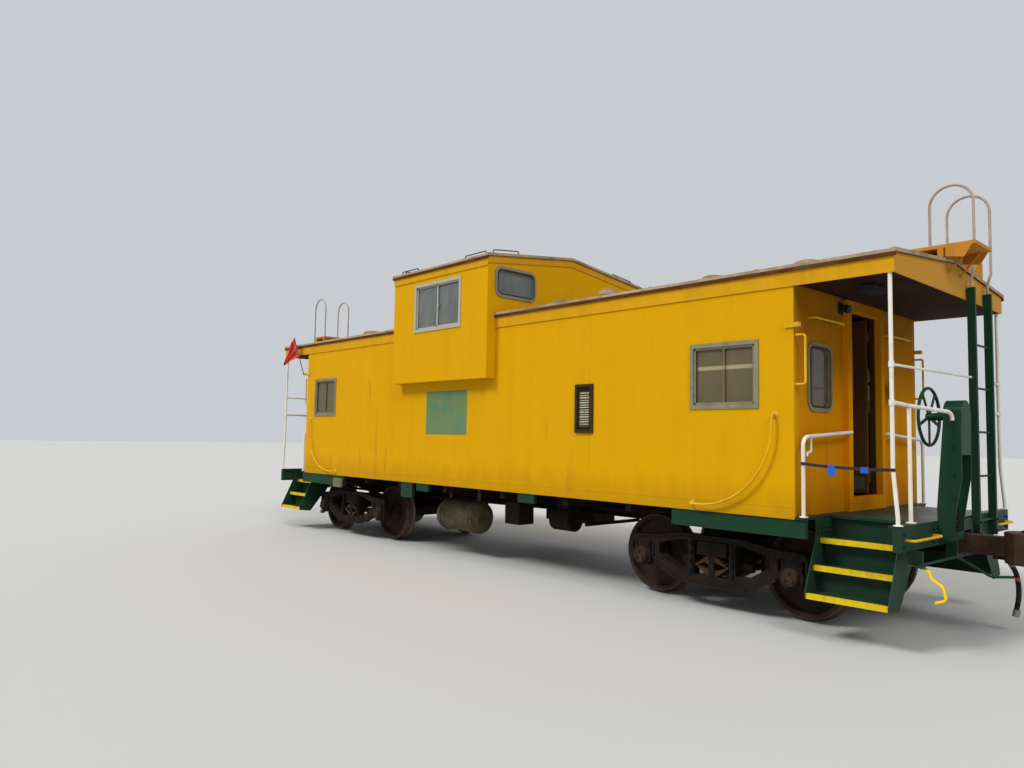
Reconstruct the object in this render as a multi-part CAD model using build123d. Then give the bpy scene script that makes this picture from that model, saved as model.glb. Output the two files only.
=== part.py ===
from build123d import *
from math import radians, tan
import os

# A railway caboose with an extended-vision cupola: a hollow steel body on an underframe,
# an open platform at each end and two four-wheel trucks.
# Sizes are in millimetres. +X is the front end, +Y the left side, and heights are above
# the rail head. Each finished piece is lifted by the flange depth, so that the flanges of
# the wheels stand at zero.

# Fits between pieces that touch
SEAT_GAP = 0.3

# Body
BODY_LENGTH = 9144.0
BODY_WIDTH = 2819.0
BODY_BOTTOM = 985.0
WALL = 70.0
EAVE = 3270.0
ROOF_RISE = 135.0
ROOF_OVERHANG = 878.0
ROOF_SHEET = 30.0
ROOF_LIP = 18.0
WALL_TOP_DROP = 34.0
FLOOR_THICK = 60.0
FASCIA_DEPTH = 194.0
FASCIA_THICK = 12.0
SOFFIT_THICK = 12.0
BODY_HALF = BODY_LENGTH / 2
SIDE = BODY_WIDTH / 2
ROOF_HALF = BODY_HALF + ROOF_OVERHANG
ROOF_EDGE = SIDE + FASCIA_THICK + ROOF_LIP
LIP_DROP = 2 * ROOF_SHEET
FASCIA_BOTTOM = EAVE - FASCIA_DEPTH
WALL_TOP = EAVE - WALL_TOP_DROP
FLOOR_TOP = BODY_BOTTOM + FLOOR_THICK

# Cupola: its place along the body, how far it stands out, rises and hangs
CUPOLA_LENGTH = 2134.0
CUPOLA_MIDDLE = -578.0
BAY_DEPTH = 150.5
CUPOLA_DROP = 850.0
CUPOLA_RAISE = 760.0
CUPOLA_RISE = 195.0
CUPOLA_WALL = 60.0
CUPOLA_FASCIA_DEPTH = 150.0
PAN_THICK = 25.0
CUPOLA_REAR = CUPOLA_MIDDLE - CUPOLA_LENGTH / 2
CUPOLA_FRONT = CUPOLA_MIDDLE + CUPOLA_LENGTH / 2
CUPOLA_SIDE = SIDE + BAY_DEPTH
CUPOLA_EDGE = CUPOLA_SIDE + FASCIA_THICK + ROOF_LIP
CUPOLA_BOTTOM = EAVE - CUPOLA_DROP
CUPOLA_EAVE = EAVE + CUPOLA_RAISE

# Windows and doors
FRAME_BORDER = 42.0
FRAME_PROUD = 12.0
FRAME_DEEP = 40.0
GLASS = 6.0
GASKET_BORDER = 40.0
GASKET_PROUD = 14.0
DOOR_WIDTH = 690.0
DOOR_SILL = 100.0
DOOR_HEAD = 101.0
DOOR_THICK = 44.0
DOOR_GAP = 6.0
DOOR_HINGE_OFF = 8.0
DOOR_HINGE_R = 7.6
DOOR_HINGE_LONG = 120.0
DOOR_OPEN_ANGLE = 90.0
DOOR_PANEL_DEEP = 8.0
SURROUND_BORDER = 90.0
SURROUND_PROUD = 55.0
DOOR_WINDOW = (400.0, 560.0)
DOOR_WINDOW_DROP = 515.0
DOOR_BOTTOM = FLOOR_TOP + DOOR_SILL
DOOR_TOP = FASCIA_BOTTOM - DOOR_HEAD
DOOR_WINDOW_CENTRE = DOOR_TOP - DOOR_WINDOW_DROP

# Platforms and steps
PLATFORM_LENGTH = 888.0
DECK_THICK = 25.0
DECK_OVER = 5.5
END_SILL_TALL = 185.0
END_SILL_DEEP = 60.0
END_SILL_GAP = 230.0
STRIKER_PROUD = 30.0
STRIKER_DROP = 125.0
STRIKER_RAISE = 110.0
STEP_INSET = (88.0, 90.0)
STAIRWELL_DEEP = 480.0
STEP_DROP = 198.0
STEP_RISE = 228.0
STEP_GOING = 145.0
STEP_COUNT = 3
STEP_DEPTH = 240.0
STEP_PLATE = 8.0
NOSING = (40.0, 40.0)
NOSING_PLATE = 5.0
END_FACE = BODY_HALF + PLATFORM_LENGTH
SILL_FACE = END_FACE - END_SILL_DEEP
DECK_TOP = BODY_BOTTOM + DECK_THICK
DECK_HALF = SIDE + DECK_OVER
END_SILL_BOTTOM = BODY_BOTTOM - END_SILL_TALL
STEP_X = (BODY_HALF + STEP_INSET[0], END_FACE - STEP_INSET[1])
STEP_EDGE = DECK_HALF - STAIRWELL_DEEP
STEP_TOP = DECK_TOP - STEP_DROP
STEP_FIRST_NOSING = DECK_HALF - (STEP_COUNT - 1) * STEP_GOING
STEP_BACK = STEP_FIRST_NOSING - STEP_DEPTH - STEP_PLATE

# Underframe
SILL_HALF = 180.0
SILL_WEB = 14.0
SILL_TALL = 295.0
SILL_FLANGE = 60.0
BOLSTER_HALF = 170.0
CENTRE_PLATE_R = 150.0
CENTRE_PLATE_DROP = 38.0
SIDE_BEARING_Y = 635.0
SIDE_BEARING_GAP = 6.0
SIDE_BEARING_RISE = 36.0
SIDE_BEARING_HALF = 110.0
SILL_BOTTOM = BODY_BOTTOM - SILL_TALL
CENTRE_PLATE_BOTTOM = SILL_BOTTOM - CENTRE_PLATE_DROP

# Trucks and wheels
TRUCK_INSET = 1067.0
WHEELBASE = 1727.0
WHEEL_R = 419.0
FLANGE_DEPTH = 25.4
BACK_TO_BACK = 1360.0
RIM_WIDTH = 140.0
RIM_THICK = 50.0
HUB_R = 135.0
AXLE_R = 78.0
JOURNAL_R = 72.0
BEARING_R = 122.0
BEARING_Y = (930.0, 1105.0)
BEARING_FIT = 0.3
END_CAP = (88.0, 42.0)
FRAME_Y = (980.0, 1090.0)
FRAME_TOP = 705.0
JAW_TOP = 569.0
JAW_HALF = 131.0
BOLSTER_DROP = 12.0
BOLSTER_END = 505.0
FRAME_WINDOW = (-205.0, 205.0, 300.0, 650.0)
LEAF_COUNT = 5
LEAF_THICK = 12.0
LEAF_REACH = 190.0
LEAF_EYE = 26.0
SPRING_BAND = 30.0
SHOE_GAP = 9.0
BEAM_REACH = 940.0
BEAM_R = 32.0
TRUCK_X = BODY_HALF - TRUCK_INSET
BOLSTER_TOP = CENTRE_PLATE_BOTTOM - BOLSTER_DROP

# Couplers
COUPLER_Z = 780.0
COUPLER_INSET = 460.0
COUPLER_REACH = 660.0
SHANK_HALF = 70.0
SHANK_TALL = 170.0
SHANK_BEHIND = 120.0
HEAD_HALF = 135.0
HOOK_HALF = 115.0
KNUCKLE_PIN_R = 23.0
COUPLER_PIVOT = END_FACE - COUPLER_INSET
PULLING_FACE = END_FACE + COUPLER_REACH

# Railings, ladders and brake stands
RAIL_R = 17.0
THIN_RAIL_R = 11.0
GRAB_R = 11.0
POST_INSET = 20.0
LADDER_Y = (310.0, 800.0)
STILE = (70.0, 40.0)
LADDER_DROP = 80.0
RUNG_FIRST_UP = 155.0
RUNG_STEP = 422.0
RUNG_COUNT = 5
RUNG_R = 11.0
HOOP_RAISE = 965.0
HOOP_PLACES = (-325.0, 70.0)
HOOP_R = 13.0
STAY_R = 9.0
STAND_Y = (-600.0, -350.0)
STAND_DEEP = 205.0
STAND_RAISE = 1050.0
STAND_SLOT_RAISE = 575.0
STAND_WALL = 12.0
WALK_Y = (-290.0, 170.0)
WALK_BEHIND = 650.0
WALK_PAST = 266.0
WALK_RAISE = 240.0
WALK_THICK = 32.0
WALK_ARM = 825.0
BRAKE_WHEEL_R = 270.0
BRAKE_WHEEL_RIM = 14.0
BRAKE_WHEEL_BEHIND = 94.0
BRAKE_WHEEL_DROP = 142.0
POST_Y = DECK_HALF - POST_INSET
LADDER_BOTTOM = END_SILL_BOTTOM
LADDER_TOP = EAVE - LADDER_DROP
RUNG_FIRST = LADDER_BOTTOM + RUNG_FIRST_UP
HOOP_TOP = EAVE + HOOP_RAISE
HOOP_X = (END_FACE + HOOP_PLACES[0], END_FACE + HOOP_PLACES[1])
STAND_FRONT = END_FACE + STAND_DEEP
STAND_TOP = DECK_TOP + STAND_RAISE
STAND_SLOT_TOP = DECK_TOP + STAND_SLOT_RAISE
WALK_X = (ROOF_HALF - WALK_BEHIND, ROOF_HALF + WALK_PAST)
WALK_TOP = EAVE + WALK_RAISE
BRAKE_WHEEL_X = END_FACE - BRAKE_WHEEL_BEHIND
BRAKE_WHEEL_Z = STAND_TOP - BRAKE_WHEEL_DROP

TURN = Rot(0, 0, 180)


# Shapes used all over


def block(x, y, z):
    """A box between two places along each axis."""
    size = [abs(high - low) for low, high in (x, y, z)]
    middle = [sum(pair) / 2 for pair in (x, y, z)]
    return Pos(*middle) * Box(*size)


def across_x(points, x):
    """An outline of (Y, Z) points, solid between two places along X."""
    face = Plane.YZ.offset(x[0]) * Polygon(*points, align=None)
    return extrude(face, x[1] - x[0], dir=(1, 0, 0))


def across_y(points, y):
    """An outline of (X, Z) points, solid between two places along Y."""
    face = Plane.XZ.offset(-y[0]) * Polygon(*points, align=None)
    return extrude(face, y[1] - y[0], dir=(0, 1, 0))


def across_z(points, z):
    """An outline of (X, Y) points, solid between two heights."""
    face = Plane.XY.offset(z[0]) * Polygon(*points, align=None)
    return extrude(face, z[1] - z[0], dir=(0, 0, 1))


def bar(points, radius, bend=0.0):
    """A round bar along straight runs, with bends of one radius between them."""
    if bend:
        path = FilletPolyline(*points, radius=bend)
    else:
        path = Polyline(*points)
    return sweep(Plane(origin=path @ 0, z_dir=path % 0) * Circle(radius), path=path)


def mirrored(pieces):
    """The pieces of the right side, and their images on the left side."""
    return list(pieces) + [mirror(piece, about=Plane.XZ) for piece in pieces]


def turned(pieces):
    """The pieces of the front end, and the same ones turned round for the rear end."""
    return list(pieces) + [TURN * piece for piece in pieces]


def pitched(edge, eave, rise, drop=0.0):
    """The three points of a shallow roof's upper line, lowered by a drop."""
    return [(-edge, eave - drop), (0.0, eave + rise - drop), (edge, eave - drop)]


def roof_height(y):
    """The height of the main roof's upper side at a distance from the middle."""
    return EAVE + ROOF_RISE * (1 - abs(y) / ROOF_EDGE)


def ring(width, height, border, depth, corner=0.0):
    """A flat frame round a rectangle, lying in XY and rising by its depth."""
    outer = RectangleRounded(width, height, corner) if corner else Rectangle(width, height)
    inner_corner = corner - border if corner > border else 0.0
    inner_size = (width - 2 * border, height - 2 * border)
    inner = RectangleRounded(*inner_size, inner_corner) if inner_corner else Rectangle(*inner_size)
    return extrude(outer - inner, depth)


def pane(width, height, depth, corner=0.0):
    """A flat rectangle, lying in XY and rising by its depth."""
    face = RectangleRounded(width, height, corner) if corner else Rectangle(width, height)
    return extrude(face, depth)


nodes = {}


def keep(name, *pieces):
    """Notes the pieces of one node."""
    nodes.setdefault(name, []).extend(pieces)


# Places of the windows

# Metal frames: low X, high X, low Z, high Z
SIDE_WINDOWS = [
    (BODY_HALF - 1100.0, BODY_HALF - 347.0, BODY_BOTTOM + 992.0, BODY_BOTTOM + 1637.0),
    (292.0 - BODY_HALF, 1012.0 - BODY_HALF, BODY_BOTTOM + 985.0, BODY_BOTTOM + 1630.0),
]
CUPOLA_SIDE_WINDOW = (CUPOLA_REAR + 525.0, CUPOLA_FRONT - 544.0, CUPOLA_EAVE - 900.0, CUPOLA_EAVE - 210.0)
LOUVER = (BODY_HALF - 2653.0, BODY_HALF - 2385.0, BODY_BOTTOM + 744.0, BODY_BOTTOM + 1298.0)
LOUVER_SLATS = 9
LOUVER_BORDER = 34.0
LOUVER_PROUD = 22.0
# Rounded windows: low Y, high Y, low Z, high Z of the ring
END_WINDOW = (239.5 - SIDE, 729.5 - SIDE, BODY_BOTTOM + 970.0, BODY_BOTTOM + 1615.0)
CUPOLA_END_WINDOW = (120.0 - CUPOLA_SIDE, 860.0 - CUPOLA_SIDE, CUPOLA_EAVE - 540.0, CUPOLA_EAVE - 130.0)
END_WINDOW_CORNER = 110.0
RING_DEEP = 26.0


def side_place(window, out):
    """The plane on the right side, or the cupola's, where a window's frame stands."""
    x = (window[0] + window[1]) / 2
    z = (window[2] + window[3]) / 2
    return Plane(origin=(x, -out, z), x_dir=(1, 0, 0), z_dir=(0, -1, 0))


def end_place(window, out):
    """The plane on a wall that faces the front where a rounded window stands."""
    y = (window[0] + window[1]) / 2
    z = (window[2] + window[3]) / 2
    return Plane(origin=(out, y, z), x_dir=(0, 1, 0), z_dir=(1, 0, 0))


def hole(window, place, border, wall, corner=0.0):
    """What a window cuts out of its wall, inside the border of its frame."""
    width = window[1] - window[0] - 2 * border
    height = window[3] - window[2] - 2 * border
    return place * Pos(0, 0, -wall - 5) * pane(width, height, wall + 10, corner)


def metal_frame(window, place):
    """A window frame: a border on the wall's face and a neck inside the opening."""
    width, height = window[1] - window[0], window[3] - window[2]
    face = ring(width, height, FRAME_BORDER, FRAME_PROUD)
    neck_size = (width - 1.4 * FRAME_BORDER, height - 1.4 * FRAME_BORDER)
    neck = Pos(0, 0, -FRAME_DEEP) * ring(*neck_size, 0.3 * FRAME_BORDER, FRAME_DEEP)
    return place * (face + neck)


def sash_bar(window, place):
    """The upright bar between the two sliding panes of a window."""
    height = window[3] - window[2] - 2 * FRAME_BORDER
    return place * Pos(0, 0, -GLASS - 12) * pane(26.0, height, 12.0)


def glass_in(window, place, border, corner=0.0):
    """The pane of a window, behind its frame."""
    width = window[1] - window[0] - 2 * border
    height = window[3] - window[2] - 2 * border
    return place * Pos(0, 0, -24 - GLASS) * pane(width, height, GLASS, corner)


FRAME_HOLE = 0.7 * FRAME_BORDER


# Body


def side_wall():
    """The right side wall, with its windows, the louver's opening and the cupola's bay."""
    wall = block((-BODY_HALF, BODY_HALF), (-SIDE, WALL - SIDE), (BODY_BOTTOM, WALL_TOP))
    for window in SIDE_WINDOWS:
        wall -= hole(window, side_place(window, SIDE), FRAME_HOLE, WALL)
    bay_x = (CUPOLA_REAR + CUPOLA_WALL, CUPOLA_FRONT - CUPOLA_WALL)
    bay_z = (CUPOLA_BOTTOM + PAN_THICK, WALL_TOP + 10)
    return wall - block(bay_x, (-SIDE - 5, WALL - SIDE + 5), bay_z)


def end_wall():
    """The front end wall, with its door opening and surround and one rounded window."""
    inner = SIDE - WALL
    crown = pitched(ROOF_EDGE, EAVE, ROOF_RISE, ROOF_SHEET + 4)
    top_edge = crown[0][1] + (crown[1][1] - crown[0][1]) * (1 - inner / ROOF_EDGE)
    outline = [(-inner, BODY_BOTTOM), (inner, BODY_BOTTOM), (inner, top_edge), crown[1]]
    wall = across_x(outline + [(-inner, top_edge)], (BODY_HALF - WALL, BODY_HALF))
    surround_half = DOOR_WIDTH / 2 + SURROUND_BORDER
    wall += block(
        (BODY_HALF, BODY_HALF + SURROUND_PROUD),
        (-surround_half, surround_half),
        (DECK_TOP, FASCIA_BOTTOM),
    )
    wall -= block(
        (BODY_HALF - WALL - 5, BODY_HALF + SURROUND_PROUD + 5),
        (-DOOR_WIDTH / 2, DOOR_WIDTH / 2),
        (DOOR_BOTTOM, DOOR_TOP),
    )
    corner = END_WINDOW_CORNER - GASKET_BORDER
    place = end_place(END_WINDOW, BODY_HALF)
    return wall - hole(END_WINDOW, place, GASKET_BORDER, WALL, corner)


def roof(x):
    """The main roof between two places along X: a pitched sheet with a lip at each eave."""
    top = pitched(ROOF_EDGE, EAVE, ROOF_RISE)
    under = pitched(ROOF_EDGE - ROOF_LIP, EAVE, ROOF_RISE, ROOF_SHEET)
    lip = LIP_DROP
    outline = top + [(ROOF_EDGE, EAVE - lip), (ROOF_EDGE - ROOF_LIP, EAVE - lip)]
    outline += under[::-1] + [(ROOF_LIP - ROOF_EDGE, EAVE - lip), (-ROOF_EDGE, EAVE - lip)]
    return across_x(outline, x)


def fascias():
    """The yellow bands under the eaves, on the sides and across the ends."""
    top = EAVE - LIP_DROP
    bands = []
    for x in ((CUPOLA_FRONT, ROOF_HALF), (-ROOF_HALF, CUPOLA_REAR)):
        bands.append(block(x, (-SIDE - FASCIA_THICK, -SIDE), (FASCIA_BOTTOM, top)))
    bands = mirrored(bands)
    crown = pitched(ROOF_EDGE - ROOF_LIP, EAVE, ROOF_RISE, ROOF_SHEET)
    side = SIDE
    edge = crown[1][1] - (crown[1][1] - crown[2][1]) * side / (ROOF_EDGE - ROOF_LIP)
    outline = [(-side, FASCIA_BOTTOM), (side, FASCIA_BOTTOM), (side, edge), crown[1]]
    end_band = across_x(outline + [(-side, edge)], (ROOF_HALF - FASCIA_THICK, ROOF_HALF))
    return bands + turned([end_band])


def soffit():
    """The flat ceiling over the front platform."""
    return block(
        (BODY_HALF + SURROUND_PROUD, ROOF_HALF - FASCIA_THICK),
        (-SIDE, SIDE),
        (FASCIA_BOTTOM, FASCIA_BOTTOM + SOFFIT_THICK),
    )


def louver():
    """The louver on the right side: a frame with slanted slats."""
    place = side_place(LOUVER, SIDE)
    width, height = LOUVER[1] - LOUVER[0], LOUVER[3] - LOUVER[2]
    border = LOUVER_BORDER
    body = ring(width, height, border, LOUVER_PROUD)
    body += pane(width - 2 * border, height - 2 * border, 3.0)
    inner = height - 2 * border
    pitch = inner / LOUVER_SLATS
    for number in range(LOUVER_SLATS):
        up = -inner / 2 + (number + 0.5) * pitch
        slat = Pos(0, up, LOUVER_PROUD / 2) * Rot(-35, 0, 0) * Box(width - 2 * border, 4.0, 20.0)
        body += slat
    return place * body


keep("side_walls", *mirrored([side_wall()]))
keep("end_walls", *turned([end_wall()]))
keep("main_roof", roof((CUPOLA_FRONT, ROOF_HALF + ROOF_LIP)))
keep("main_roof", roof((-ROOF_HALF - ROOF_LIP, CUPOLA_REAR)))
keep("fascias", *fascias())
keep("platform_ceilings", *turned([soffit()]))
keep("louver", louver())
floor_y = (WALL - SIDE, SIDE - WALL)
keep("floor", block((WALL - BODY_HALF, BODY_HALF - WALL), floor_y, (BODY_BOTTOM, FLOOR_TOP)))


# Cupola


def cupola_end():
    """The cupola's front wall, with legs that enclose the bays and two rounded windows."""
    crown = pitched(CUPOLA_EDGE - ROOF_LIP, CUPOLA_EAVE, CUPOLA_RISE, ROOF_SHEET)
    half = CUPOLA_SIDE
    edge = crown[1][1] - (crown[1][1] - crown[2][1]) * half / (CUPOLA_EDGE - ROOF_LIP)
    inner = SIDE - WALL
    beam = WALL_TOP - 100
    right = [(half, CUPOLA_BOTTOM), (half, edge)]
    left = [(-half, edge), (-half, CUPOLA_BOTTOM)]
    foot = [(-SIDE, CUPOLA_BOTTOM), (-SIDE, WALL_TOP), (-inner, WALL_TOP), (-inner, beam)]
    foot += [(-y, z) for y, z in foot[::-1]]
    outline = right + [crown[1]] + left + foot
    wall = across_x(outline, (CUPOLA_FRONT - CUPOLA_WALL, CUPOLA_FRONT))
    corner = END_WINDOW_CORNER - GASKET_BORDER
    opening = hole(CUPOLA_END_WINDOW, end_place(CUPOLA_END_WINDOW, CUPOLA_FRONT),
                   GASKET_BORDER, CUPOLA_WALL, corner)
    return wall - opening - mirror(opening, about=Plane.XZ)


ABOUT_CUPOLA = Plane.YZ.offset(CUPOLA_MIDDLE)


def both_ends_of_cupola(pieces):
    """The pieces at the cupola's front, and their images at its rear."""
    return list(pieces) + [mirror(piece, about=ABOUT_CUPOLA) for piece in pieces]


def cupola_side():
    """The cupola's right side, with its window."""
    x = (CUPOLA_REAR + CUPOLA_WALL, CUPOLA_FRONT - CUPOLA_WALL)
    top = CUPOLA_EAVE - LIP_DROP
    wall = block(x, (-CUPOLA_SIDE, CUPOLA_WALL - CUPOLA_SIDE), (CUPOLA_BOTTOM, top))
    place = side_place(CUPOLA_SIDE_WINDOW, CUPOLA_SIDE)
    return wall - hole(CUPOLA_SIDE_WINDOW, place, FRAME_HOLE, CUPOLA_WALL)


def cupola_pan():
    """The underside of the right bay."""
    x = (CUPOLA_REAR + CUPOLA_WALL, CUPOLA_FRONT - CUPOLA_WALL)
    y = (CUPOLA_WALL - CUPOLA_SIDE, -SIDE)
    return block(x, y, (CUPOLA_BOTTOM, CUPOLA_BOTTOM + PAN_THICK))


def cupola_roof():
    """The cupola's roof: a pitched sheet with a lip all along its eaves."""
    top = pitched(CUPOLA_EDGE, CUPOLA_EAVE, CUPOLA_RISE)
    under = pitched(CUPOLA_EDGE - ROOF_LIP, CUPOLA_EAVE, CUPOLA_RISE, ROOF_SHEET)
    lip = LIP_DROP
    edge = CUPOLA_EDGE
    outline = top + [(edge, CUPOLA_EAVE - lip), (edge - ROOF_LIP, CUPOLA_EAVE - lip)]
    outline += under[::-1] + [(ROOF_LIP - edge, CUPOLA_EAVE - lip), (-edge, CUPOLA_EAVE - lip)]
    over = FASCIA_THICK + ROOF_LIP
    return across_x(outline, (CUPOLA_REAR - over, CUPOLA_FRONT + over))


def cupola_fascias():
    """The bands under the cupola's roof."""
    top = CUPOLA_EAVE - LIP_DROP
    bottom = CUPOLA_EAVE - CUPOLA_FASCIA_DEPTH
    x = (CUPOLA_REAR, CUPOLA_FRONT)
    side_band = block(x, (-CUPOLA_SIDE - FASCIA_THICK, -CUPOLA_SIDE), (bottom, top))
    crown = pitched(CUPOLA_SIDE + FASCIA_THICK, CUPOLA_EAVE, CUPOLA_RISE, ROOF_SHEET)
    low = [(y, z - CUPOLA_FASCIA_DEPTH + LIP_DROP) for y, z in crown[::-1]]
    end_band = across_x(crown + low, (CUPOLA_FRONT, CUPOLA_FRONT + FASCIA_THICK))
    return mirrored([side_band]) + both_ends_of_cupola([end_band])


keep("cupola_ends", *both_ends_of_cupola([cupola_end()]))
keep("cupola_sides", *mirrored([cupola_side()]))
keep("cupola_pans", *mirrored([cupola_pan()]))
keep("cupola_roof", cupola_roof())
keep("fascias", *cupola_fascias())


# Window frames, rubber rings and glass

for window in SIDE_WINDOWS:
    place = side_place(window, SIDE)
    framed = metal_frame(window, place)
    keep("window_frames", *mirrored([framed + sash_bar(window, place)]))
    keep("window_glass", *mirrored([glass_in(window, place, FRAME_BORDER)]))
place = side_place(CUPOLA_SIDE_WINDOW, CUPOLA_SIDE)
framed = metal_frame(CUPOLA_SIDE_WINDOW, place) + sash_bar(CUPOLA_SIDE_WINDOW, place)
keep("window_frames", *mirrored([framed]))
keep("window_glass", *mirrored([glass_in(CUPOLA_SIDE_WINDOW, place, FRAME_BORDER)]))


def rubber_ring(window, place):
    """The ring that holds the glass of a rounded window: a bead outside and a neck."""
    width, height = window[1] - window[0], window[3] - window[2]
    bead = ring(width, height, GASKET_BORDER + 12, GASKET_PROUD, END_WINDOW_CORNER)
    neck_corner = END_WINDOW_CORNER - GASKET_BORDER
    neck_size = (width - 2 * GASKET_BORDER, height - 2 * GASKET_BORDER)
    neck = Pos(0, 0, -RING_DEEP) * ring(*neck_size, 12.0, RING_DEEP, neck_corner)
    return place * (bead + neck)


RING_GLASS_BORDER = GASKET_BORDER + 12
RING_GLASS_CORNER = END_WINDOW_CORNER - RING_GLASS_BORDER


def ring_glass(window, place):
    """The pane that a rubber ring holds."""
    width = window[1] - window[0] - 2 * RING_GLASS_BORDER
    height = window[3] - window[2] - 2 * RING_GLASS_BORDER
    return place * Pos(0, 0, -16 - GLASS) * pane(width, height, GLASS, RING_GLASS_CORNER)


place = end_place(END_WINDOW, BODY_HALF)
keep("window_rings", *turned([rubber_ring(END_WINDOW, place)]))
keep("window_glass", *turned([ring_glass(END_WINDOW, place)]))
place = end_place(CUPOLA_END_WINDOW, CUPOLA_FRONT)
keep("window_rings", *both_ends_of_cupola(mirrored([rubber_ring(CUPOLA_END_WINDOW, place)])))
keep("window_glass", *both_ends_of_cupola(mirrored([ring_glass(CUPOLA_END_WINDOW, place)])))


# Doors: each leaf shuts inside its wall and swings into the cabin

LEAF = DOOR_WIDTH - 2 * DOOR_GAP
HINGE = (BODY_HALF - WALL - DOOR_HINGE_OFF, LEAF / 2 + DOOR_GAP / 2)
HINGE_HEIGHTS = (DOOR_BOTTOM + 185.0, (DOOR_BOTTOM + DOOR_TOP) / 2, DOOR_TOP - 185.0)


def door_leaf():
    """The front door shut: a leaf with a window, panels, a handle and hinge barrels."""
    x = (BODY_HALF - WALL, BODY_HALF - WALL + DOOR_THICK)
    z = (DOOR_BOTTOM + DOOR_GAP, DOOR_TOP - DOOR_GAP)
    leaf = block(x, (-LEAF / 2, LEAF / 2), z)
    width, height = DOOR_WINDOW
    middle = DOOR_WINDOW_CENTRE
    window_z = (middle - height / 2, middle + height / 2)
    leaf -= block((x[0] - 5, x[1] + 5), (-width / 2, width / 2), window_z)
    panel_z = (z[0] + 130, window_z[0] - 150)
    leaf -= block((x[1] - DOOR_PANEL_DEEP, x[1] + 5), (-width / 2, width / 2), panel_z)
    leaf -= block((x[0] - 5, x[0] + DOOR_PANEL_DEEP), (-width / 2, width / 2), panel_z)
    half = DOOR_HINGE_LONG / 2
    for up in HINGE_HEIGHTS:
        leaf += Pos(HINGE[0], HINGE[1], up) * Cylinder(DOOR_HINGE_R, DOOR_HINGE_LONG)
        leaf += block((HINGE[0], x[0] + 6), (LEAF / 2 - 60, HINGE[1]), (up - half, up + half))
    return leaf


def door_pane():
    """The glass of the front door."""
    x = BODY_HALF - WALL + DOOR_THICK / 2
    width, height = DOOR_WINDOW
    z = (DOOR_WINDOW_CENTRE - height / 2, DOOR_WINDOW_CENTRE + height / 2)
    return block((x - GLASS / 2, x + GLASS / 2), (-width / 2, width / 2), z)


SWUNG = Pos(*HINGE, 0) * Rot(0, 0, -DOOR_OPEN_ANGLE) * Pos(-HINGE[0], -HINGE[1], 0)
keep("door_front", SWUNG * door_leaf())
keep("door_front_glass", SWUNG * door_pane())
keep("door_rear", TURN * door_leaf())
keep("door_rear_glass", TURN * door_pane())


# Underframe

# Beams across the floor: X, depth
CROSS_BEAMS = [
    (-1700.0, 190.0),
    (-600.0, 190.0),
    (600.0, 190.0),
    (1700.0, 190.0),
    (192.0 - BODY_HALF, 85.0),
    (1932.0 - BODY_HALF, 85.0),
    (BODY_HALF - 1932.0, 85.0),
    (BODY_HALF - 192.0, 85.0),
]
BEAM_HALF = 40.0
BEAM_END_DEEP = 95.0
OUTRIGGER = (70.0, 115.0)
DRAFT_GEAR = (440.0, 140.0, 75.0)


def centre_sills():
    """The long sills: two webs with flanges turned out below, under one cover plate."""
    half, web, low = SILL_HALF, SILL_WEB, SILL_BOTTOM
    top = BODY_BOTTOM - web
    web_top = top - SEAT_GAP
    out = half + SILL_FLANGE
    outline = [
        (half - web, low),
        (out, low),
        (out, low + web),
        (half, low + web),
        (half, web_top),
        (half - web, web_top),
    ]
    sill = across_x(outline, (-SILL_FACE, SILL_FACE))
    return mirrored([sill]) + [block((-SILL_FACE, SILL_FACE), (-half, half), (top, BODY_BOTTOM))]


def bolster_wing():
    """The right wing of the cross beam over the front truck, with its side bearing."""
    reach = SIDE - WALL
    web_side = SILL_HALF + SEAT_GAP
    flange_side = web_side + SILL_FLANGE
    flange_top = SILL_BOTTOM + SILL_WEB + SEAT_GAP
    low = SILL_BOTTOM + 10
    outline = [
        (-web_side, flange_top),
        (-flange_side, flange_top),
        (-flange_side, SILL_BOTTOM),
        (-700.0, low),
        (-900.0, low + 90),
        (-reach, low + 180),
        (-reach, BODY_BOTTOM),
        (-web_side, BODY_BOTTOM),
    ]
    wing = across_x(outline, (TRUCK_X - BOLSTER_HALF, TRUCK_X + BOLSTER_HALF))
    pad_z = (BOLSTER_TOP + SIDE_BEARING_RISE + SIDE_BEARING_GAP, low)
    pad_x = (TRUCK_X - SIDE_BEARING_HALF, TRUCK_X + SIDE_BEARING_HALF)
    return wing + block(pad_x, (-SIDE_BEARING_Y - 60, 60 - SIDE_BEARING_Y), pad_z)


def centre_plate():
    """The casting between the webs over the front truck, with the centre plate under it."""
    inner = SILL_HALF - SILL_WEB - SEAT_GAP
    casting = block((TRUCK_X - 250, TRUCK_X + 250), (-inner, inner), (SILL_BOTTOM, SILL_BOTTOM + 30))
    middle = CENTRE_PLATE_BOTTOM + CENTRE_PLATE_DROP / 2
    return casting + Pos(TRUCK_X, 0, middle) * Cylinder(CENTRE_PLATE_R, CENTRE_PLATE_DROP)


def cross_beam(x, depth):
    """The right half of a beam from the centre sill to the side wall, at one place along X."""
    reach = SIDE - WALL
    web_side = SILL_HALF + SEAT_GAP
    outline = [
        (-web_side, BODY_BOTTOM - depth),
        (-reach, BODY_BOTTOM - min(depth, BEAM_END_DEEP)),
        (-reach, BODY_BOTTOM),
        (-web_side, BODY_BOTTOM),
    ]
    return across_x(outline, (x - BEAM_HALF, x + BEAM_HALF))


def outrigger():
    """The right beam that carries the front platform beside the centre sill."""
    start = CROSS_BEAMS[-1][0] + BEAM_HALF + SEAT_GAP
    side = STEP_BACK - SEAT_GAP
    wide, deep = OUTRIGGER
    return block((start, SILL_FACE), (-side, wide - side), (BODY_BOTTOM - deep, BODY_BOTTOM))


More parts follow.
